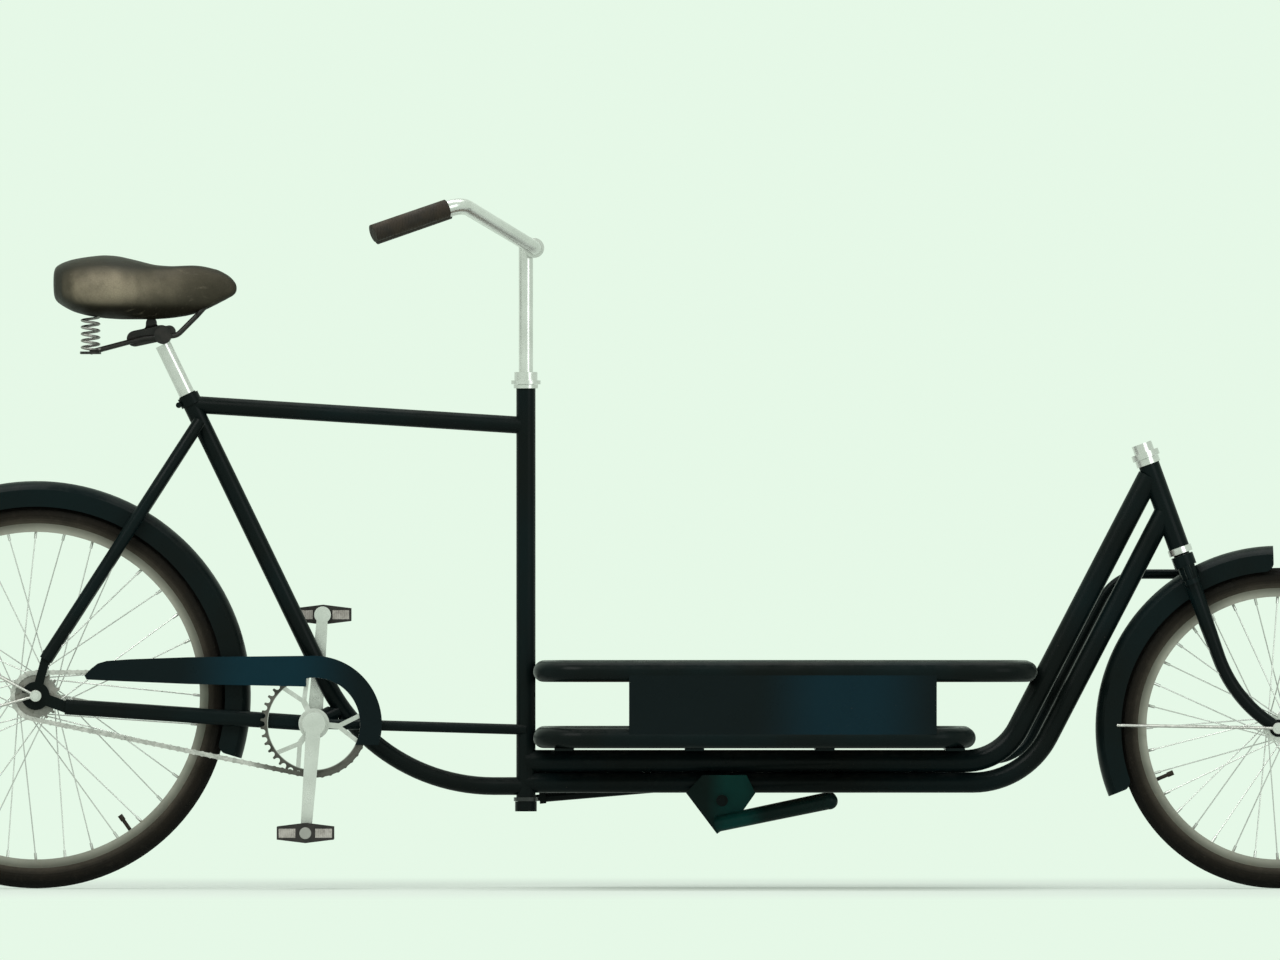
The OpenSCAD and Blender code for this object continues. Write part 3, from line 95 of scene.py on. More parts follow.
class Shader:
    """Short calls for building one node material."""

    # Most of a noise lies between these levels
    LOW = 0.3
    HIGH = 0.7

    def __init__(self, name):
        self.material = bpy.data.materials.new(name)
        self.material.use_nodes = True
        self.tree = self.material.node_tree
        self.bsdf = self.tree.nodes["Principled BSDF"]
        self.place = self.tree.nodes.new("ShaderNodeTexCoord").outputs["Object"]

    def node(self, kind, **props):
        n = self.tree.nodes.new(kind)
        for key, value in props.items():
            setattr(n, key, value)
        return n

    def put(self, socket, value):
        if isinstance(value, bpy.types.NodeSocket):
            self.tree.links.new(value, socket)
        else:
            socket.default_value = value

    def set(self, **values):
        for key, value in values.items():
            self.put(self.bsdf.inputs[key.replace("_", " ").title().replace("Ior", "IOR")], value)

    def math(self, operation, a, b=0.0):
        n = self.node("ShaderNodeMath", operation=operation)
        for socket, value in zip(n.inputs, (a, b)):
            self.put(socket, value)
        return n.outputs[0]

    def times(self, a, b):
        return self.math("MULTIPLY", a, b)

    def minus(self, a, b):
        return self.math("SUBTRACT", a, b)

    def inverse(self, a):
        return self.minus(1.0, a)

    def wave(self, value, period):
        return self.math("SINE", self.times(value, 2 * math.pi / period))

    def stretch(self, x, y, z):
        n = self.node("ShaderNodeMapping")
        self.put(n.inputs["Vector"], self.place)
        n.inputs["Scale"].default_value = (x, y, z)
        return n.outputs[0]

    def noise(self, scale, detail=3.0, roughness=0.55, vector=None, distortion=0.0):
        n = self.node("ShaderNodeTexNoise")
        self.put(n.inputs["Vector"], vector or self.place)
        n.inputs["Scale"].default_value = scale
        n.inputs["Detail"].default_value = detail
        n.inputs["Roughness"].default_value = roughness
        n.inputs["Distortion"].default_value = distortion
        return n.outputs["Fac"]

    def cells(self, scale):
        """Distance to the edges of a net of cells."""
        n = self.node("ShaderNodeTexVoronoi", feature="DISTANCE_TO_EDGE")
        self.put(n.inputs["Vector"], self.place)
        n.inputs["Scale"].default_value = scale
        return n.outputs["Distance"]

    def span(self, value, low, high, out_low=0.0, out_high=1.0):
        """A smooth step from one level of a value to another."""
        n = self.node("ShaderNodeMapRange")
        n.interpolation_type = "SMOOTHSTEP"
        for socket, v in zip(n.inputs, (value, low, high, out_low, out_high)):
            self.put(socket, v)
        return n.outputs[0]

    def patches(self, scale, low, high, detail=3.0, roughness=0.55):
        """Noise with a smooth step, so that it stands in patches."""
        return self.span(self.noise(scale, detail, roughness), low, high)

    def vary(self, drift, low, high):
        """A value that follows the middle range of a noise."""
        return self.span(drift, self.LOW, self.HIGH, low, high)

    def mix(self, factor, a, b):
        n = self.node("ShaderNodeMix", data_type="RGBA")
        self.put(n.inputs["Factor"], factor)
        for key, value in (("A", a), ("B", b)):
            socket = [s for s in n.inputs if s.name == key and s.type == "RGBA"][0]
            self.put(socket, value if isinstance(value, bpy.types.NodeSocket) else (*value, 1.0))
        return [s for s in n.outputs if s.type == "RGBA"][0]

    def blotch(self, drift, dark, light, start=LOW):
        """A colour that follows the middle range of a noise."""
        return self.mix(self.span(drift, start, self.HIGH), dark, light)

    def lay(self, under, over, share, strength):
        """One colour laid thinly over another, where the share is high."""
        return self.mix(self.times(share, strength), under, over)

    def axis(self, index):
        n = self.node("ShaderNodeSeparateXYZ")
        self.put(n.inputs[0], self.place)
        return n.outputs[index]

    def facing(self, index):
        n = self.node("ShaderNodeSeparateXYZ")
        geometry = self.node("ShaderNodeNewGeometry")
        self.put(n.inputs[0], geometry.outputs["Normal"])
        return n.outputs[index]

    def offset(self, centre):
        """Distances from a point of the side view, along the length and up."""
        return self.minus(self.axis(0), centre[0]), self.minus(self.axis(2), centre[1])

    def radius(self, centre):
        x, z = self.offset(centre)
        return self.math("SQRT", self.math("ADD", self.times(x, x), self.times(z, z)))

    def angle(self, centre):
        x, z = self.offset(centre)
        return self.math("ARCTAN2", z, x)

    def bump(self, height, strength, distance, below=None):
        n = self.node("ShaderNodeBump")
        n.inputs["Strength"].default_value = strength
        n.inputs["Distance"].default_value = distance
        self.put(n.inputs["Height"], height)
        if below is not None:
            self.put(n.inputs["Normal"], below)
        self.put(self.bsdf.inputs["Normal"], n.outputs[0])
        return n.outputs[0]


def frame_paint(name, sheen_tint, at=None, reach=0.15):
    """Near-black paint with a painted teal sheen that drifts in patches, or stands round one place along the
    length.
    """
    black = (0.0036, 0.0058, 0.0052)
    dust_grey = (0.12, 0.12, 0.11)
    primer = (0.09, 0.075, 0.06)
    # Share of the reach that has the full painted sheen, and how much of it is left beyond the reach
    full = 0.2
    faint = 0.15
    s = Shader(name)
    # Where the painted teal sheen, a painted reflection, shows on the black
    if at is None:
        sheen_share = s.patches(4.0, 0.35, 0.7, detail=4.0)
    else:
        off = s.math("ABSOLUTE", s.minus(s.axis(0), at))
        sheen_share = s.span(off, reach, full * reach, out_low=faint)
    dust = s.times(s.span(s.facing(2), 0.2, 1.0), s.patches(38.0, 0.4, 0.75, detail=5.0, roughness=0.7))
    chips = s.times(s.patches(260.0, 0.72, 0.77, detail=2.0, roughness=0.6), s.patches(9.0, 0.55, 0.68))
    colour = s.mix(sheen_share, black, sheen_tint)
    colour = s.lay(colour, dust_grey, dust, 0.14)
    colour = s.lay(colour, primer, chips, 0.5)
    rough = s.math("ADD", s.vary(s.noise(24.0, detail=4.0), 0.26, 0.40), s.times(dust, 0.22))
    s.set(base_color=colour, roughness=rough, specular_ior_level=0.06, coat_weight=0.02, coat_roughness=0.12)
    s.bump(s.noise(420.0, detail=2.0), strength=0.05, distance=0.0006)
    return s.material


def bright_steel(name, painted_below=None):
    """Plated steel, with the frame's dark paint below a height where one is given."""
    grey = (0.60, 0.60, 0.58)
    light = (0.69, 0.69, 0.67)
    rust = (0.30, 0.22, 0.15)
    paint = (0.004, 0.006, 0.006)
    paint_edge = 0.001
    metal = 0.85
    s = Shader(name)
    drift = s.noise(16.0, detail=4.0)
    spots = s.times(s.patches(330.0, 0.66, 0.76, roughness=0.7), s.span(drift, 0.52, 0.68))
    colour = s.lay(s.blotch(drift, grey, light, start=0.35), rust, spots, 0.28)
    rough = s.math("ADD", s.vary(s.noise(60.0, detail=5.0), 0.20, 0.28), s.times(spots, 0.20))
    if painted_below is not None:
        plated = s.span(s.axis(2), painted_below - paint_edge, painted_below)
        colour = s.mix(plated, paint, colour)
        metal = s.times(plated, metal)
    s.set(base_color=colour, metallic=metal, roughness=rough)
    s.bump(s.noise(500.0), strength=0.02, distance=0.0004)
    return s.material


def plain_steel():
    """Dull bare steel with patches of grime."""
    grey = (0.20, 0.19, 0.18)
    light = (0.36, 0.34, 0.31)
    grime = (0.07, 0.055, 0.045)
    s = Shader("plain_steel")
    drift = s.noise(30.0, detail=5.0, roughness=0.65)
    colour = s.blotch(drift, grey, light, start=0.35)
    colour = s.lay(colour, grime, s.patches(120.0, 0.5, 0.72, roughness=0.7), 0.7)
    s.set(base_color=colour, metallic=0.85, roughness=s.vary(drift, 0.34, 0.58))
    s.bump(s.noise(380.0), strength=0.12, distance=0.0005)
    return s.material


def ring_metal():
    """Bright arms of the chainring inside a dark, oily ring of teeth."""
    bright_r = 0.0715
    oily_r = 0.0735
    s = Shader("ring_metal")
    drift = s.noise(40.0, detail=4.0)
    bright = s.blotch(drift, (0.52, 0.52, 0.50), (0.62, 0.62, 0.60), start=0.35)
    oily = s.blotch(drift, (0.045, 0.042, 0.038), (0.13, 0.12, 0.11))
    colour = s.mix(s.span(s.radius(CRANK_AXLE), bright_r, oily_r), bright, oily)
    s.set(base_color=colour, metallic=0.9, roughness=s.vary(drift, 0.24, 0.42))
    s.bump(s.noise(420.0), strength=0.08, distance=0.0004)
    return s.material


def pale_steel(name, oiled_round=None):
    """Bare steel, dark with oil close round an axle where one is given."""
    grey = (0.44, 0.43, 0.41)
    light = (0.62, 0.61, 0.58)
    oil_brown = (0.060, 0.054, 0.046)
    dry_r = 0.125
    oily_r = 0.090
    s = Shader(name)
    drift = s.noise(90.0, detail=4.0, roughness=0.65)
    oil = s.times(s.patches(240.0, 0.52, 0.74, roughness=0.7), 0.55)
    if oiled_round is not None:
        oil = s.math("MAXIMUM", oil, s.span(s.radius(oiled_round), dry_r, oily_r, out_high=0.9))
    colour = s.mix(oil, s.blotch(drift, grey, light, start=0.35), oil_brown)
    s.set(base_color=colour, metallic=0.8, roughness=s.vary(drift, 0.30, 0.48))
    s.bump(s.noise(500.0), strength=0.08, distance=0.0004)
    return s.material


def saddle_iron():
    """Black rails and clamp with bare steel springs at the back."""
    rust = (0.07, 0.042, 0.025)
    front_edge = 0.002
    low_edge = 0.003
    s = Shader("saddle_iron")
    drift = s.noise(55.0, detail=4.0, roughness=0.6)
    black = s.blotch(drift, (0.008, 0.008, 0.007), (0.020, 0.018, 0.016))
    steel = s.blotch(drift, (0.18, 0.175, 0.165), (0.36, 0.35, 0.33))
    spring = s.inverse(s.span(s.axis(0), SPRING_FRONT - front_edge, SPRING_FRONT))
    spring = s.times(spring, s.span(s.axis(2), SPRING_LOW, SPRING_LOW + low_edge))
    colour = s.mix(spring, black, steel)
    colour = s.lay(colour, rust, s.patches(300.0, 0.62, 0.74, roughness=0.7), 0.5)
    s.set(base_color=colour, metallic=s.times(spring, 0.8), specular_ior_level=0.25)
    s.set(roughness=s.vary(drift, 0.32, 0.52))
    s.bump(s.noise(420.0), strength=0.12, distance=0.0004)
    return s.material


def pedal_cage(name):
    """Black cage plates with a pale dust cap round the spindle."""
    scuffed = (0.16, 0.15, 0.14)
    cap_grey = (0.36, 0.37, 0.33)
    cap_r = 0.0095
    cap_edge = 0.0007
    s = Shader(name + "_cage")
    drift = s.noise(70.0, detail=4.0)
    scuffs = s.noise(1.0, detail=4.0, roughness=0.7, vector=s.stretch(260.0, 90.0, 60.0))
    cap = s.span(s.radius(side_centre(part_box(name))), cap_r, cap_r - cap_edge)
    colour = s.blotch(drift, (0.012, 0.011, 0.010), (0.030, 0.027, 0.024))
    colour = s.lay(colour, scuffed, s.span(scuffs, 0.60, 0.74), 0.4)
    colour = s.mix(cap, colour, cap_grey)
    s.set(base_color=colour, roughness=s.vary(drift, 0.48, 0.66), specular_ior_level=0.3)
    grain = s.bump(s.noise(420.0), strength=0.15, distance=0.0005)
    s.bump(cap, strength=0.5, distance=0.0010, below=grain)
    return s.material


def rim_metal(name, centre, bead):
    """Brushed rim, pale at its inner edge and dark towards the tyre."""
    dirt_brown = (0.20, 0.17, 0.13)
    pale_inside = 0.007
    dark_outside = 0.006
    s = Shader(name)
    brushed = s.noise(1.0, roughness=0.6, vector=s.stretch(40.0, 900.0, 40.0))
    drift = s.noise(9.0, detail=4.0)
    inner = s.blotch(drift, (0.27, 0.265, 0.225), (0.35, 0.345, 0.295), start=0.35)
    outer = s.blotch(drift, (0.105, 0.103, 0.083), (0.145, 0.142, 0.115), start=0.35)
    colour = s.mix(s.span(s.radius(centre), bead - pale_inside, bead + dark_outside), inner, outer)
    colour = s.lay(colour, dirt_brown, s.patches(70.0, 0.52, 0.74, detail=4.0, roughness=0.7), 0.45)
    s.set(base_color=colour, metallic=0.45, roughness=s.vary(brushed, 0.36, 0.52))
    s.bump(brushed, strength=0.08, distance=0.0004)
    return s.material


def tyre_rubber(name, centre, outer, blocks):
    """Rubber that darkens outwards, with chevron blocks on the tread and fine ribs on the side wall."""
    dust_brown = (0.14, 0.115, 0.09)
    chevron_lean = 420.0
    groove_pitch = 0.011
    rib_pitch = 0.0042
    # Depths below the tread's top between which the colours, the blocks and the ribs come and go
    pale_depths = (0.033, 0.019)
    dark_depths = (0.021, 0.006)
    block_depths = (0.013, 0.008)
    rib_depths = (0.018, 0.014)
    s = Shader(name)
    radius = s.radius(centre)

    def from_to(depths):
        return s.span(radius, outer - depths[0], outer - depths[1])

    side = s.math("ABSOLUTE", s.axis(1))
    drift = s.noise(26.0, detail=5.0, roughness=0.65)
    pale = s.blotch(drift, (0.046, 0.040, 0.030), (0.072, 0.063, 0.048))
    brown = s.blotch(drift, (0.0078, 0.0064, 0.0044), (0.0138, 0.0112, 0.0078))
    dark = s.blotch(drift, (0.0030, 0.0026, 0.0019), (0.0058, 0.0050, 0.0039))
    colour = s.mix(from_to(pale_depths), pale, brown)
    colour = s.mix(from_to(dark_depths), colour, dark)
    colour = s.lay(colour, dust_brown, s.patches(140.0, 0.5, 0.78, detail=4.0, roughness=0.7), 0.06)
    s.set(base_color=colour, roughness=s.vary(drift, 0.62, 0.80), specular_ior_level=0.10)
    sweep = s.math("ADD", s.times(s.angle(centre), blocks), s.times(side, chevron_lean))
    chevron = s.span(s.math("SINE", sweep), -0.35, 0.1)
    groove = s.span(s.math("COSINE", s.times(side, 2 * math.pi / groove_pitch)), -0.9, -0.4)
    tread = s.times(s.math("MINIMUM", chevron, groove), from_to(block_depths))
    ribs = s.times(s.wave(radius, rib_pitch), s.inverse(from_to(rib_depths)))
    grain = s.bump(s.noise(300.0), strength=0.25, distance=0.0005)
    s.bump(s.math("ADD", tread, s.times(ribs, 0.10)), strength=0.8, distance=0.0018, below=grain)
    return s.material


def grip_rubber():
    """Ringed brown rubber, worn pale on top."""
    worn_brown = (0.10, 0.075, 0.055)
    ring_pitch = 0.0048
    s = Shader("grip_rubber")
    drift = s.noise(45.0, detail=4.0)
    worn = s.times(s.span(s.facing(2), 0.4, 1.0), s.patches(60.0, 0.4, 0.7))
    colour = s.blotch(drift, (0.014, 0.010, 0.007), (0.032, 0.024, 0.016))
    colour = s.lay(colour, worn_brown, worn, 0.4)
    s.set(base_color=colour, roughness=s.vary(drift, 0.55, 0.75), specular_ior_level=0.25)
    rings = s.span(s.wave(s.axis(0), ring_pitch), -0.5, 0.5)
    grain = s.bump(s.noise(500.0), strength=0.2, distance=0.0004)
    s.bump(rings, strength=0.6, distance=0.0010, below=grain)
    return s.material


def saddle_leather():
    """Creased leather with a painted highlight on its sides at the back, and painted shade towards the nose
    and the hem.
    """
    painted_highlight_tan = (0.285, 0.250, 0.172)
    painted_hem_shade = (0.008, 0.0065, 0.004)
    crease_brown = (0.030, 0.024, 0.014)
    scuffed = (0.26, 0.23, 0.17)
    s = Shader("saddle_leather")
    drift = s.noise(11.0, detail=5.0, roughness=0.6)
    nose = s.span(s.axis(0), SADDLE_LOW[0] + 0.40 * SADDLE_L, SADDLE_LOW[0] + 0.85 * SADDLE_L)
    hem = s.span(s.axis(2), SADDLE_LOW[2] + 0.05 * SADDLE_RISE, SADDLE_LOW[2] + 0.45 * SADDLE_RISE)
    # Painted highlight on the sides, strongest high up at the back and fading towards the nose
    painted_highlight_share = s.span(s.math("ABSOLUTE", s.facing(1)), 0.45, 0.95)
    painted_highlight_share = s.times(painted_highlight_share, s.span(s.noise(13.0, detail=4.0), 0.25, 0.62, out_low=0.40))
    painted_highlight_share = s.times(painted_highlight_share, s.times(hem, s.span(nose, 0.0, 1.0, 1.0, 0.14)))
    creases = s.span(s.cells(260.0), 0.0, 0.12)
    scuffs = s.noise(1.0, detail=4.0, roughness=0.7, vector=s.stretch(35.0, 170.0, 90.0))
    scuffs = s.span(scuffs, 0.60, 0.74)
    colour = s.blotch(drift, (0.0145, 0.0130, 0.0080), (0.0280, 0.0250, 0.0155), start=0.32)
    colour = s.mix(painted_highlight_share, colour, painted_highlight_tan)
    # Painted shade towards the hem, darkest at the bottom edge
    colour = s.mix(s.span(hem, 0.0, 0.45, 0.8, 0.0), colour, painted_hem_shade)
    colour = s.lay(colour, crease_brown, s.inverse(creases), 0.18)
    colour = s.lay(colour, scuffed, scuffs, 0.22)
    rough = s.math("ADD", s.vary(drift, 0.50, 0.62), s.times(scuffs, 0.15))
    s.set(base_color=colour, roughness=rough, specular_ior_level=s.span(hem, 0.0, 0.6, 0.04, 0.14))
    grain = s.bump(s.noise(90.0, detail=4.0), strength=0.20, distance=0.0014)
    s.bump(creases, strength=0.22, distance=0.0005, below=grain)
    return s.material


def board_wood():
    """Worn planks that run along the bed, with dark seams between them."""
    seam_brown = (0.02, 0.014, 0.010)
    worn_grey = (0.30, 0.25, 0.19)
    plank_w = 0.0933
    s = Shader("board_wood")
    grain = s.noise(1.0, detail=6.0, roughness=0.6, vector=s.stretch(3.0, 55.0, 55.0), distortion=0.5)
    across = s.math("SINE", s.times(s.axis(1), math.pi / plank_w))
    planks = s.span(s.math("ABSOLUTE", across), 0.0, 0.05)
    colour = s.blotch(grain, (0.10, 0.062, 0.034), (0.27, 0.18, 0.105))
    colour = s.mix(s.inverse(planks), colour, seam_brown)
    colour = s.lay(colour, worn_grey, s.patches(14.0, 0.5, 0.75, detail=5.0, roughness=0.65), 0.35)
    s.set(base_color=colour, roughness=s.vary(grain, 0.50, 0.68))
    fibre = s.bump(grain, strength=0.3, distance=0.0008)
    s.bump(planks, strength=0.6, distance=0.002, below=fibre)
    return s.material


def pedal_rubber():
    """Ribbed pale rubber with dirt in patches."""
    dirt_brown = (0.13, 0.11, 0.09)
    rib_pitch = 0.0065
    s = Shader("pedal_rubber")
    drift = s.noise(60.0, detail=4.0)
    colour = s.blotch(drift, (0.36, 0.34, 0.30), (0.52, 0.50, 0.45))
    colour = s.lay(colour, dirt_brown, s.patches(160.0, 0.5, 0.75, detail=4.0, roughness=0.7), 0.55)
    s.set(base_color=colour, roughness=s.vary(drift, 0.60, 0.78))
    s.bump(s.span(s.wave(s.axis(0), rib_pitch), -0.4, 0.4), strength=0.7, distance=0.0012)
    return s.material


# Materials by slot, and those of single nodes
materials = {
    # The frame paint drifts in patches to a painted teal sheen
    "frame_paint": frame_paint("frame_paint", (0.0032, 0.0090, 0.0098)),
    "bright_steel": bright_steel("bright_steel"),
    "plain_steel": plain_steel(),
    "grip": grip_rubber(),
    "leather": saddle_leather(),
    "board": board_wood(),
    "pedal_block": pedal_rubber(),
}
own_materials = {
    "rear_rim": rim_metal("rear_rim_metal", REAR_AXLE, REAR_R - TYRE_H),
    "front_rim": rim_metal("front_rim_metal", FRONT_AXLE, FRONT_R - TYRE_H),
    "rear_tyre": tyre_rubber("rear_tyre_rubber", REAR_AXLE, REAR_R, REAR_BLOCKS),
    "front_tyre": tyre_rubber("front_tyre_rubber", FRONT_AXLE, FRONT_R, FRONT_BLOCKS),
    "chainring": ring_metal(),
    "saddle_frame": saddle_iron(),
    "bearing_cups": bright_steel("bearing_steel", painted_below=CUP_PAINT_Z),
    "chain": pale_steel("chain_steel", CRANK_AXLE),
    # Chain guard, side plates and stand each carry a painted teal sheen round one place
    "chain_guard": frame_paint("guard_paint_and_sheen", (0.0036, 0.0240, 0.0350), at=GUARD_SHEEN_X),
    "side_plates": frame_paint("plate_paint_and_sheen", (0.0035, 0.0180, 0.0260), at=PLATE_SHEEN_X),
    "stand": frame_paint("stand_paint_and_sheen", (0.0036, 0.0540, 0.0470), at=STAND_SHEEN_X, reach=0.05),
    "pedal_right": pedal_cage("pedal_right"),
    "pedal_left": pedal_cage("pedal_left"),
    "front_valve": materials["grip"],
    "rear_valve": materials["grip"],
}
bare = pale_steel("pale_steel")
for name in ("front_mudguard_stays", "rear_mudguard_stays", "brake_arm"):
    own_materials[name] = bare
for entry in frame["record"]["subparts"]:
    name = entry["node"]
    material = own_materials.get(name) or materials[entry["material_slot"]]
    data = nodes[name].data
    data.materials.clear()
    data.materials.append(material)


def add_object(name, mesh):
    """A new object in the scene, made of what a bmesh holds."""
    data = bpy.data.meshes.new(name)
    mesh.to_mesh(data)
    mesh.free()
    obj = bpy.data.objects.new(name, data)
    bpy.context.scene.collection.objects.link(obj)
    return obj


def loft(mesh, rows):
    """Skin over rings of points that have the same count, with both ends closed."""
    for a, b in zip(rows, rows[1:]):
        for k in range(len(a)):
            after = (k + 1) % len(a)
            mesh.faces.new((a[k], a[after], b[after], b[k]))
    mesh.faces.new(list(reversed(rows[0])))
    mesh.faces.new(rows[-1])


def apply_modifier(obj, kind, **settings):
    bpy.context.view_layer.objects.active = obj
    modifier = obj.modifiers.new(kind.lower(), kind)
    for key, value in settings.items():
        setattr(modifier, key, value)
    bpy.ops.object.modifier_apply(modifier=modifier.name)


def shade_smooth(obj):
    for polygon in obj.data.polygons:
        polygon.use_smooth = True


# Saddle: a crowned leather cover lofted from sections, then swelled a little as cloth
def saddle():
    # Each section: place along the length, half-width, underside and crown, as shares of the whole
    sections = [
        (0.005, 0.42, 0.29, 0.82), (0.05, 0.66, 0.19, 0.90), (0.11, 0.84, 0.09, 0.955),
        (0.19, 0.94, 0.03, 0.985), (0.27, 0.965, 0.0, 1.0), (0.36, 0.93, 0.0, 0.965),
        (0.45, 0.80, 0.0, 0.90), (0.55, 0.60, 0.0, 0.82), (0.64, 0.43, 0.02, 0.80),
        (0.73, 0.315, 0.06, 0.815), (0.82, 0.26, 0.14, 0.82), (0.90, 0.225, 0.25, 0.78),
        (0.96, 0.175, 0.34, 0.69), (1.0, 0.10, 0.40, 0.56),
    ]
    ring = 40
    # How square a section is at its sides, crown and underside: one is round, and less is squarer
    side_power = 0.80
    crown_power = 0.85
    under_power = 0.55
    # Share of a section's height below its widest place, at the broad back and at the slim nose
    broad = 0.5
    back_skirt = 0.42
    nose_skirt = 0.55
    half = (SADDLE_HIGH[1] - SADDLE_LOW[1]) / 2
    mesh = bmesh.new()
    rows = []
    for place, wide, low, high in sections:
        row = []
        x = SADDLE_LOW[0] + place * SADDLE_L
        height = (high - low) * SADDLE_RISE
        skirt = back_skirt if wide > broad else nose_skirt
        widest = SADDLE_LOW[2] + low * SADDLE_RISE + skirt * height
        for k in range(ring):
            turn = 2 * math.pi * k / ring
            out, up = math.cos(turn), math.sin(turn)
            y = half * wide * math.copysign(abs(out) ** side_power, out)
            if up >= 0:
                z = widest + (1 - skirt) * height * up ** crown_power
            else:
                z = widest - skirt * height * abs(up) ** under_power
            row.append(mesh.verts.new((x, y, z)))
        rows.append(row)
    loft(mesh, rows)
    bmesh.ops.recalc_face_normals(mesh, faces=mesh.faces)
    cover = add_object("saddle_top", mesh)
    apply_modifier(cover, "REMESH", mode="VOXEL", voxel_size=0.005)
    swell(cover, limit=0.004)
    apply_modifier(cover, "SMOOTH", factor=0.5, iterations=6)
    apply_modifier(cover, "SUBSURF", levels=1, render_levels=1)
    shade_smooth(cover)
    cover.data.materials.append(materials["leather"])
    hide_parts("saddle_cover")
    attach(cover, "seat")


def swell(obj, limit):
    """Blow a closed skin up as cloth, and move no point by more than the limit."""
    frames = 20
    rest = [v.co.copy() for v in obj.data.vertices]
    cloth = obj.modifiers.new("cloth", "CLOTH")
    cloth.settings.use_pressure = True
    cloth.settings.uniform_pressure_force = 4.0
    cloth.settings.effector_weights.gravity = 0.0
    cloth.settings.tension_stiffness = 30.0
    cloth.settings.bending_stiffness = 4.0
    cloth.point_cache.frame_start = 1
    cloth.point_cache.frame_end = frames
    scene = bpy.context.scene
    for number in range(1, frames + 1):
        scene.frame_set(number)
    depsgraph = bpy.context.evaluated_depsgraph_get()
    moved = [v.co.copy() for v in obj.evaluated_get(depsgraph).data.vertices]
    obj.modifiers.remove(cloth)
    scene.frame_set(1)
    for vertex, start, end in zip(obj.data.vertices, rest, moved):
        shift = end - start
        if shift.length > limit:
            shift *= limit / shift.length
        vertex.co = start + shift


# The rails' front ends, carried on a little way into the cover
def rail_ends():
    rod_r = 0.004
    rod_l = 0.022
    rod_ahead = 0.010
    tip_l = 0.008
    back_l = 0.030
    points = [v.co for v in nodes["saddle_frame"].data.vertices]
    front = max(p.x for p in points)
    for side in (-1, 1):
        ends = [p for p in points if p.y * side > 0 and p.x > front - tip_l]
        before = [p for p in points if p.y * side > 0 and front - back_l < p.x < front - tip_l]
        tip = sum(ends, Vector()) / len(ends)
        back = sum(before, Vector()) / len(before)
        along = (tip - back).normalized()
        mesh = bmesh.new()
        bmesh.ops.create_cone(mesh, cap_ends=True, segments=32, radius1=rod_r, radius2=rod_r, depth=rod_l)
        end = add_object("rail_end_" + ("left" if side > 0 else "right"), mesh)
        end.data.transform(along.to_track_quat("Z", "Y").to_matrix().to_4x4())
        end.data.transform(Matrix.Translation(tip + along * rod_ahead))
        for polygon in end.data.polygons:
            polygon.use_smooth = len(polygon.vertices) == 4
        end.data.materials.append(own_materials["saddle_frame"])
        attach(end, "seat")


# The clamp that holds the rails on the post: body, upper jaw and front lug as rounded bars across the bicycle
def rail_clamp():
    # Each bar: two places in the side view, seen from the boss, then radius and half-width
    bars = [
        ((-0.044, -0.005), (-0.002, 0.004), 0.0125, 0.021),
        ((-0.019, 0.004), (-0.018, 0.020), 0.0085, 0.016),
        ((0.000, 0.003), (0.010, 0.006), 0.0100, 0.021),
    ]
    arc = 12
    mesh = bmesh.new()
    for start, end, radius, half in bars:
        lean = math.atan2(end[1] - start[1], end[0] - start[0])
        outline = []
        for place, first in ((end, lean - math.pi / 2), (start, lean + math.pi / 2)):
            for k in range(arc + 1):
                turn = first + math.pi * k / arc
                x = BOSS[0] + place[0] + radius * math.cos(turn)
                z = BOSS[1] + place[1] + radius * math.sin(turn)
                outline.append((x, z))
        loft(mesh, [[mesh.verts.new((x, y, z)) for x, z in outline] for y in (-half, half)])
    bmesh.ops.recalc_face_normals(mesh, faces=mesh.faces)
    clamp = add_object("rail_clamp", mesh)
    apply_modifier(clamp, "REMESH", mode="VOXEL", voxel_size=0.0015)
    apply_modifier(clamp, "SMOOTH", factor=0.5, iterations=4)
    shade_smooth(clamp)
    clamp.data.materials.append(own_materials["saddle_frame"])
    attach(clamp, "seat")


saddle()
rail_ends()
rail_clamp()


# Stage, light and camera
def seen_directly(tree):
    """One for rays from the camera, straight or by way of metal and glass, and nought for light."""
    path = tree.nodes.new("ShaderNodeLightPath")
    seen = path.outputs["Is Camera Ray"]
    for key in ("Is Glossy Ray", "Is Transmission Ray"):
        either = tree.nodes.new("ShaderNodeMath")
        either.operation = "MAXIMUM"
        tree.links.new(seen, either.inputs[0])
        tree.links.new(path.outputs[key], either.inputs[1])
        seen = either.outputs[0]
    return seen


def stage():
    """An open floor that shows part of the backdrop's green near the object, and all of it farther off."""
    half = 9
    drop = 0.0005
    near_share = 0.4
    near_x = 1.4
    far_x = 2.8
    near_y = 0.5
    far_y = 1.9
    mesh = bmesh.new()
    corners = ((-half, -half), (half, -half), (half, half), (-half, half))
    mesh.faces.new([mesh.verts.new((x, y, -drop)) for x, y in corners])
    floor = add_object("studio_floor", mesh)
    s = Shader("studio_floor")
    colour = s.blotch(s.noise(0.8), (0.74, 0.82, 0.75), (0.78, 0.86, 0.79))
    s.set(base_color=colour, roughness=0.95, specular_ior_level=0.0)
    glow = s.node("ShaderNodeEmission")
    glow.inputs["Color"].default_value = BACKDROP
    along = s.span(s.math("ABSOLUTE", s.axis(0)), near_x, far_x, out_low=near_share)
    across = s.span(s.math("ABSOLUTE", s.axis(1)), near_y, far_y, out_low=near_share)
    blend = s.node("ShaderNodeMixShader")
    s.put(blend.inputs[0], s.times(seen_directly(s.tree), s.math("MAXIMUM", along, across)))
    s.put(blend.inputs[1], s.bsdf.outputs[0])
    s.put(blend.inputs[2], glow.outputs[0])
    s.put(s.tree.nodes["Material Output"].inputs["Surface"], blend.outputs[0])
    floor.data.materials.append(s.material)


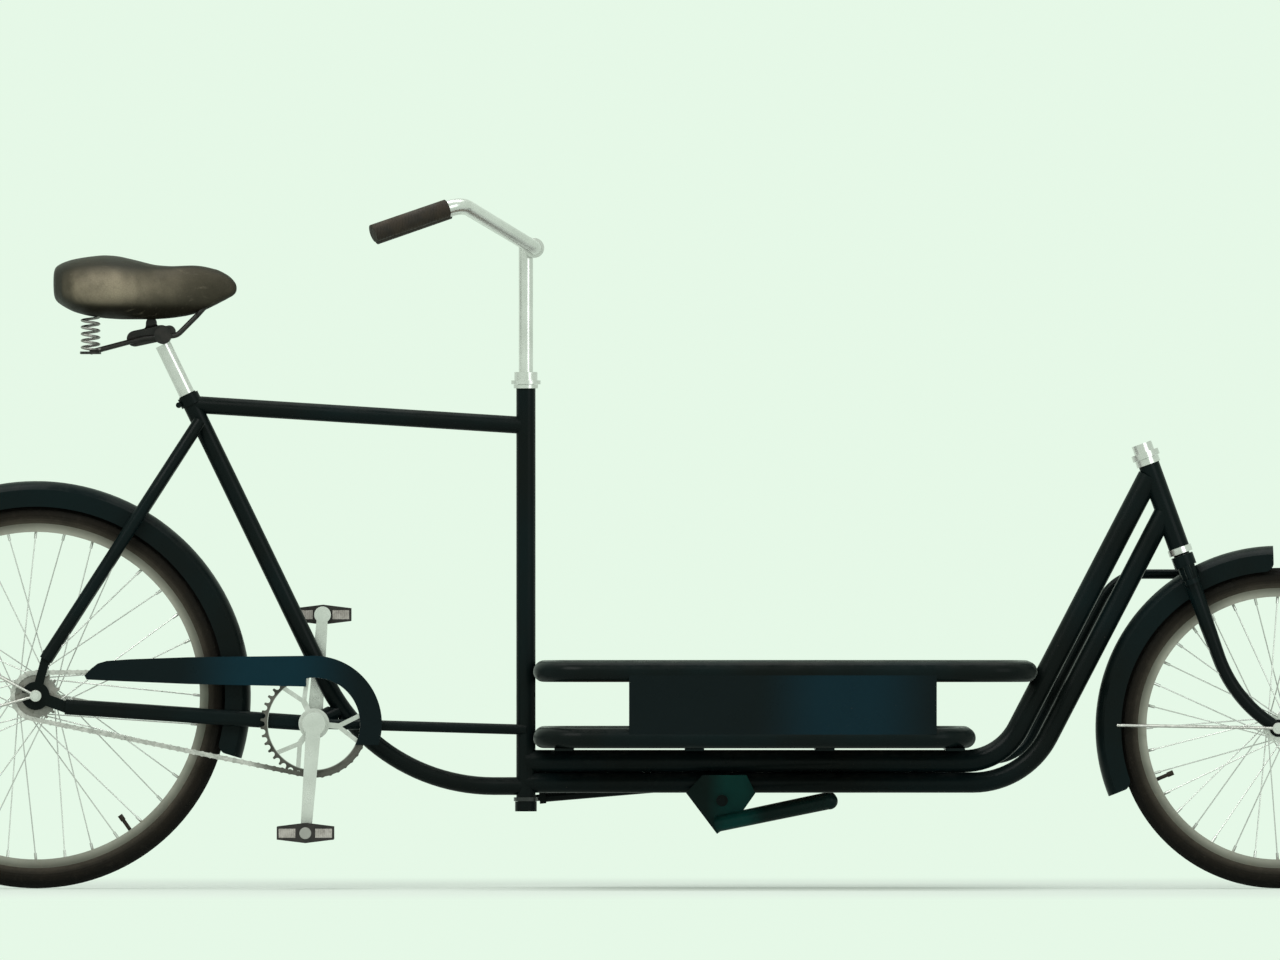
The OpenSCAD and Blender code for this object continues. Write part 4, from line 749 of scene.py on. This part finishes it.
def backdrop():
    """A soft grey light all round, which the camera sees as the backdrop's even pale green."""
    world = bpy.data.worlds.new("studio")
    world.use_nodes = True
    tree = world.node_tree
    light = tree.nodes["Background"]
    light.inputs["Color"].default_value = (0.93, 0.96, 0.95, 1.0)
    light.inputs["Strength"].default_value = 0.30
    seen = tree.nodes.new("ShaderNodeBackground")
    seen.inputs["Color"].default_value = BACKDROP
    seen.inputs["Strength"].default_value = 1.0
    blend = tree.nodes.new("ShaderNodeMixShader")
    tree.links.new(seen_directly(tree), blend.inputs[0])
    tree.links.new(light.outputs[0], blend.inputs[1])
    tree.links.new(seen.outputs[0], blend.inputs[2])
    tree.links.new(blend.outputs[0], tree.nodes["World Output"].inputs["Surface"])
    bpy.context.scene.world = world


def area_light(name, place, target, size, power, colour=(1.0, 1.0, 1.0)):
    data = bpy.data.lights.new(name, "AREA")
    data.shape = "RECTANGLE"
    data.size, data.size_y = size
    data.energy = power
    data.color = colour
    light = bpy.data.objects.new(name, data)
    light.location = place
    light.rotation_euler = (Vector(target) - Vector(place)).to_track_quat("-Z", "Y").to_euler()
    bpy.context.scene.collection.objects.link(light)


def lights():
    middle = (0.0, 0.0, 0.5)
    warm = (1.0, 0.99, 0.97)
    cool = (0.96, 0.98, 1.0)
    area_light("key", (-2.2, -4.0, 4.2), middle, size=(3.5, 2.5), power=150.0, colour=warm)
    area_light("fill", (3.6, -4.5, 2.2), middle, size=(3.0, 3.0), power=60.0, colour=cool)
    area_light("top", (0.0, 0.4, 4.8), (0.0, 0.0, 0.0), size=(5.0, 2.5), power=95.0)


def camera():
    """A long lens far off, which sees the side nearly flat, with both wheels cut by the picture's edges."""
    distance = 60.0
    aim_x = 0.016
    aim_z = 0.637
    data = bpy.data.cameras.new("camera")
    data.sensor_width = 36.0
    data.lens = 1081.6
    data.clip_end = 200.0
    eye = bpy.data.objects.new("camera", data)
    eye.location = (aim_x, -distance, aim_z)
    eye.rotation_euler = (math.pi / 2, 0.0, 0.0)
    bpy.context.scene.collection.objects.link(eye)
    bpy.context.scene.camera = eye


stage()
backdrop()
lights()
camera()
bpy.context.scene.view_settings.view_transform = "Standard"
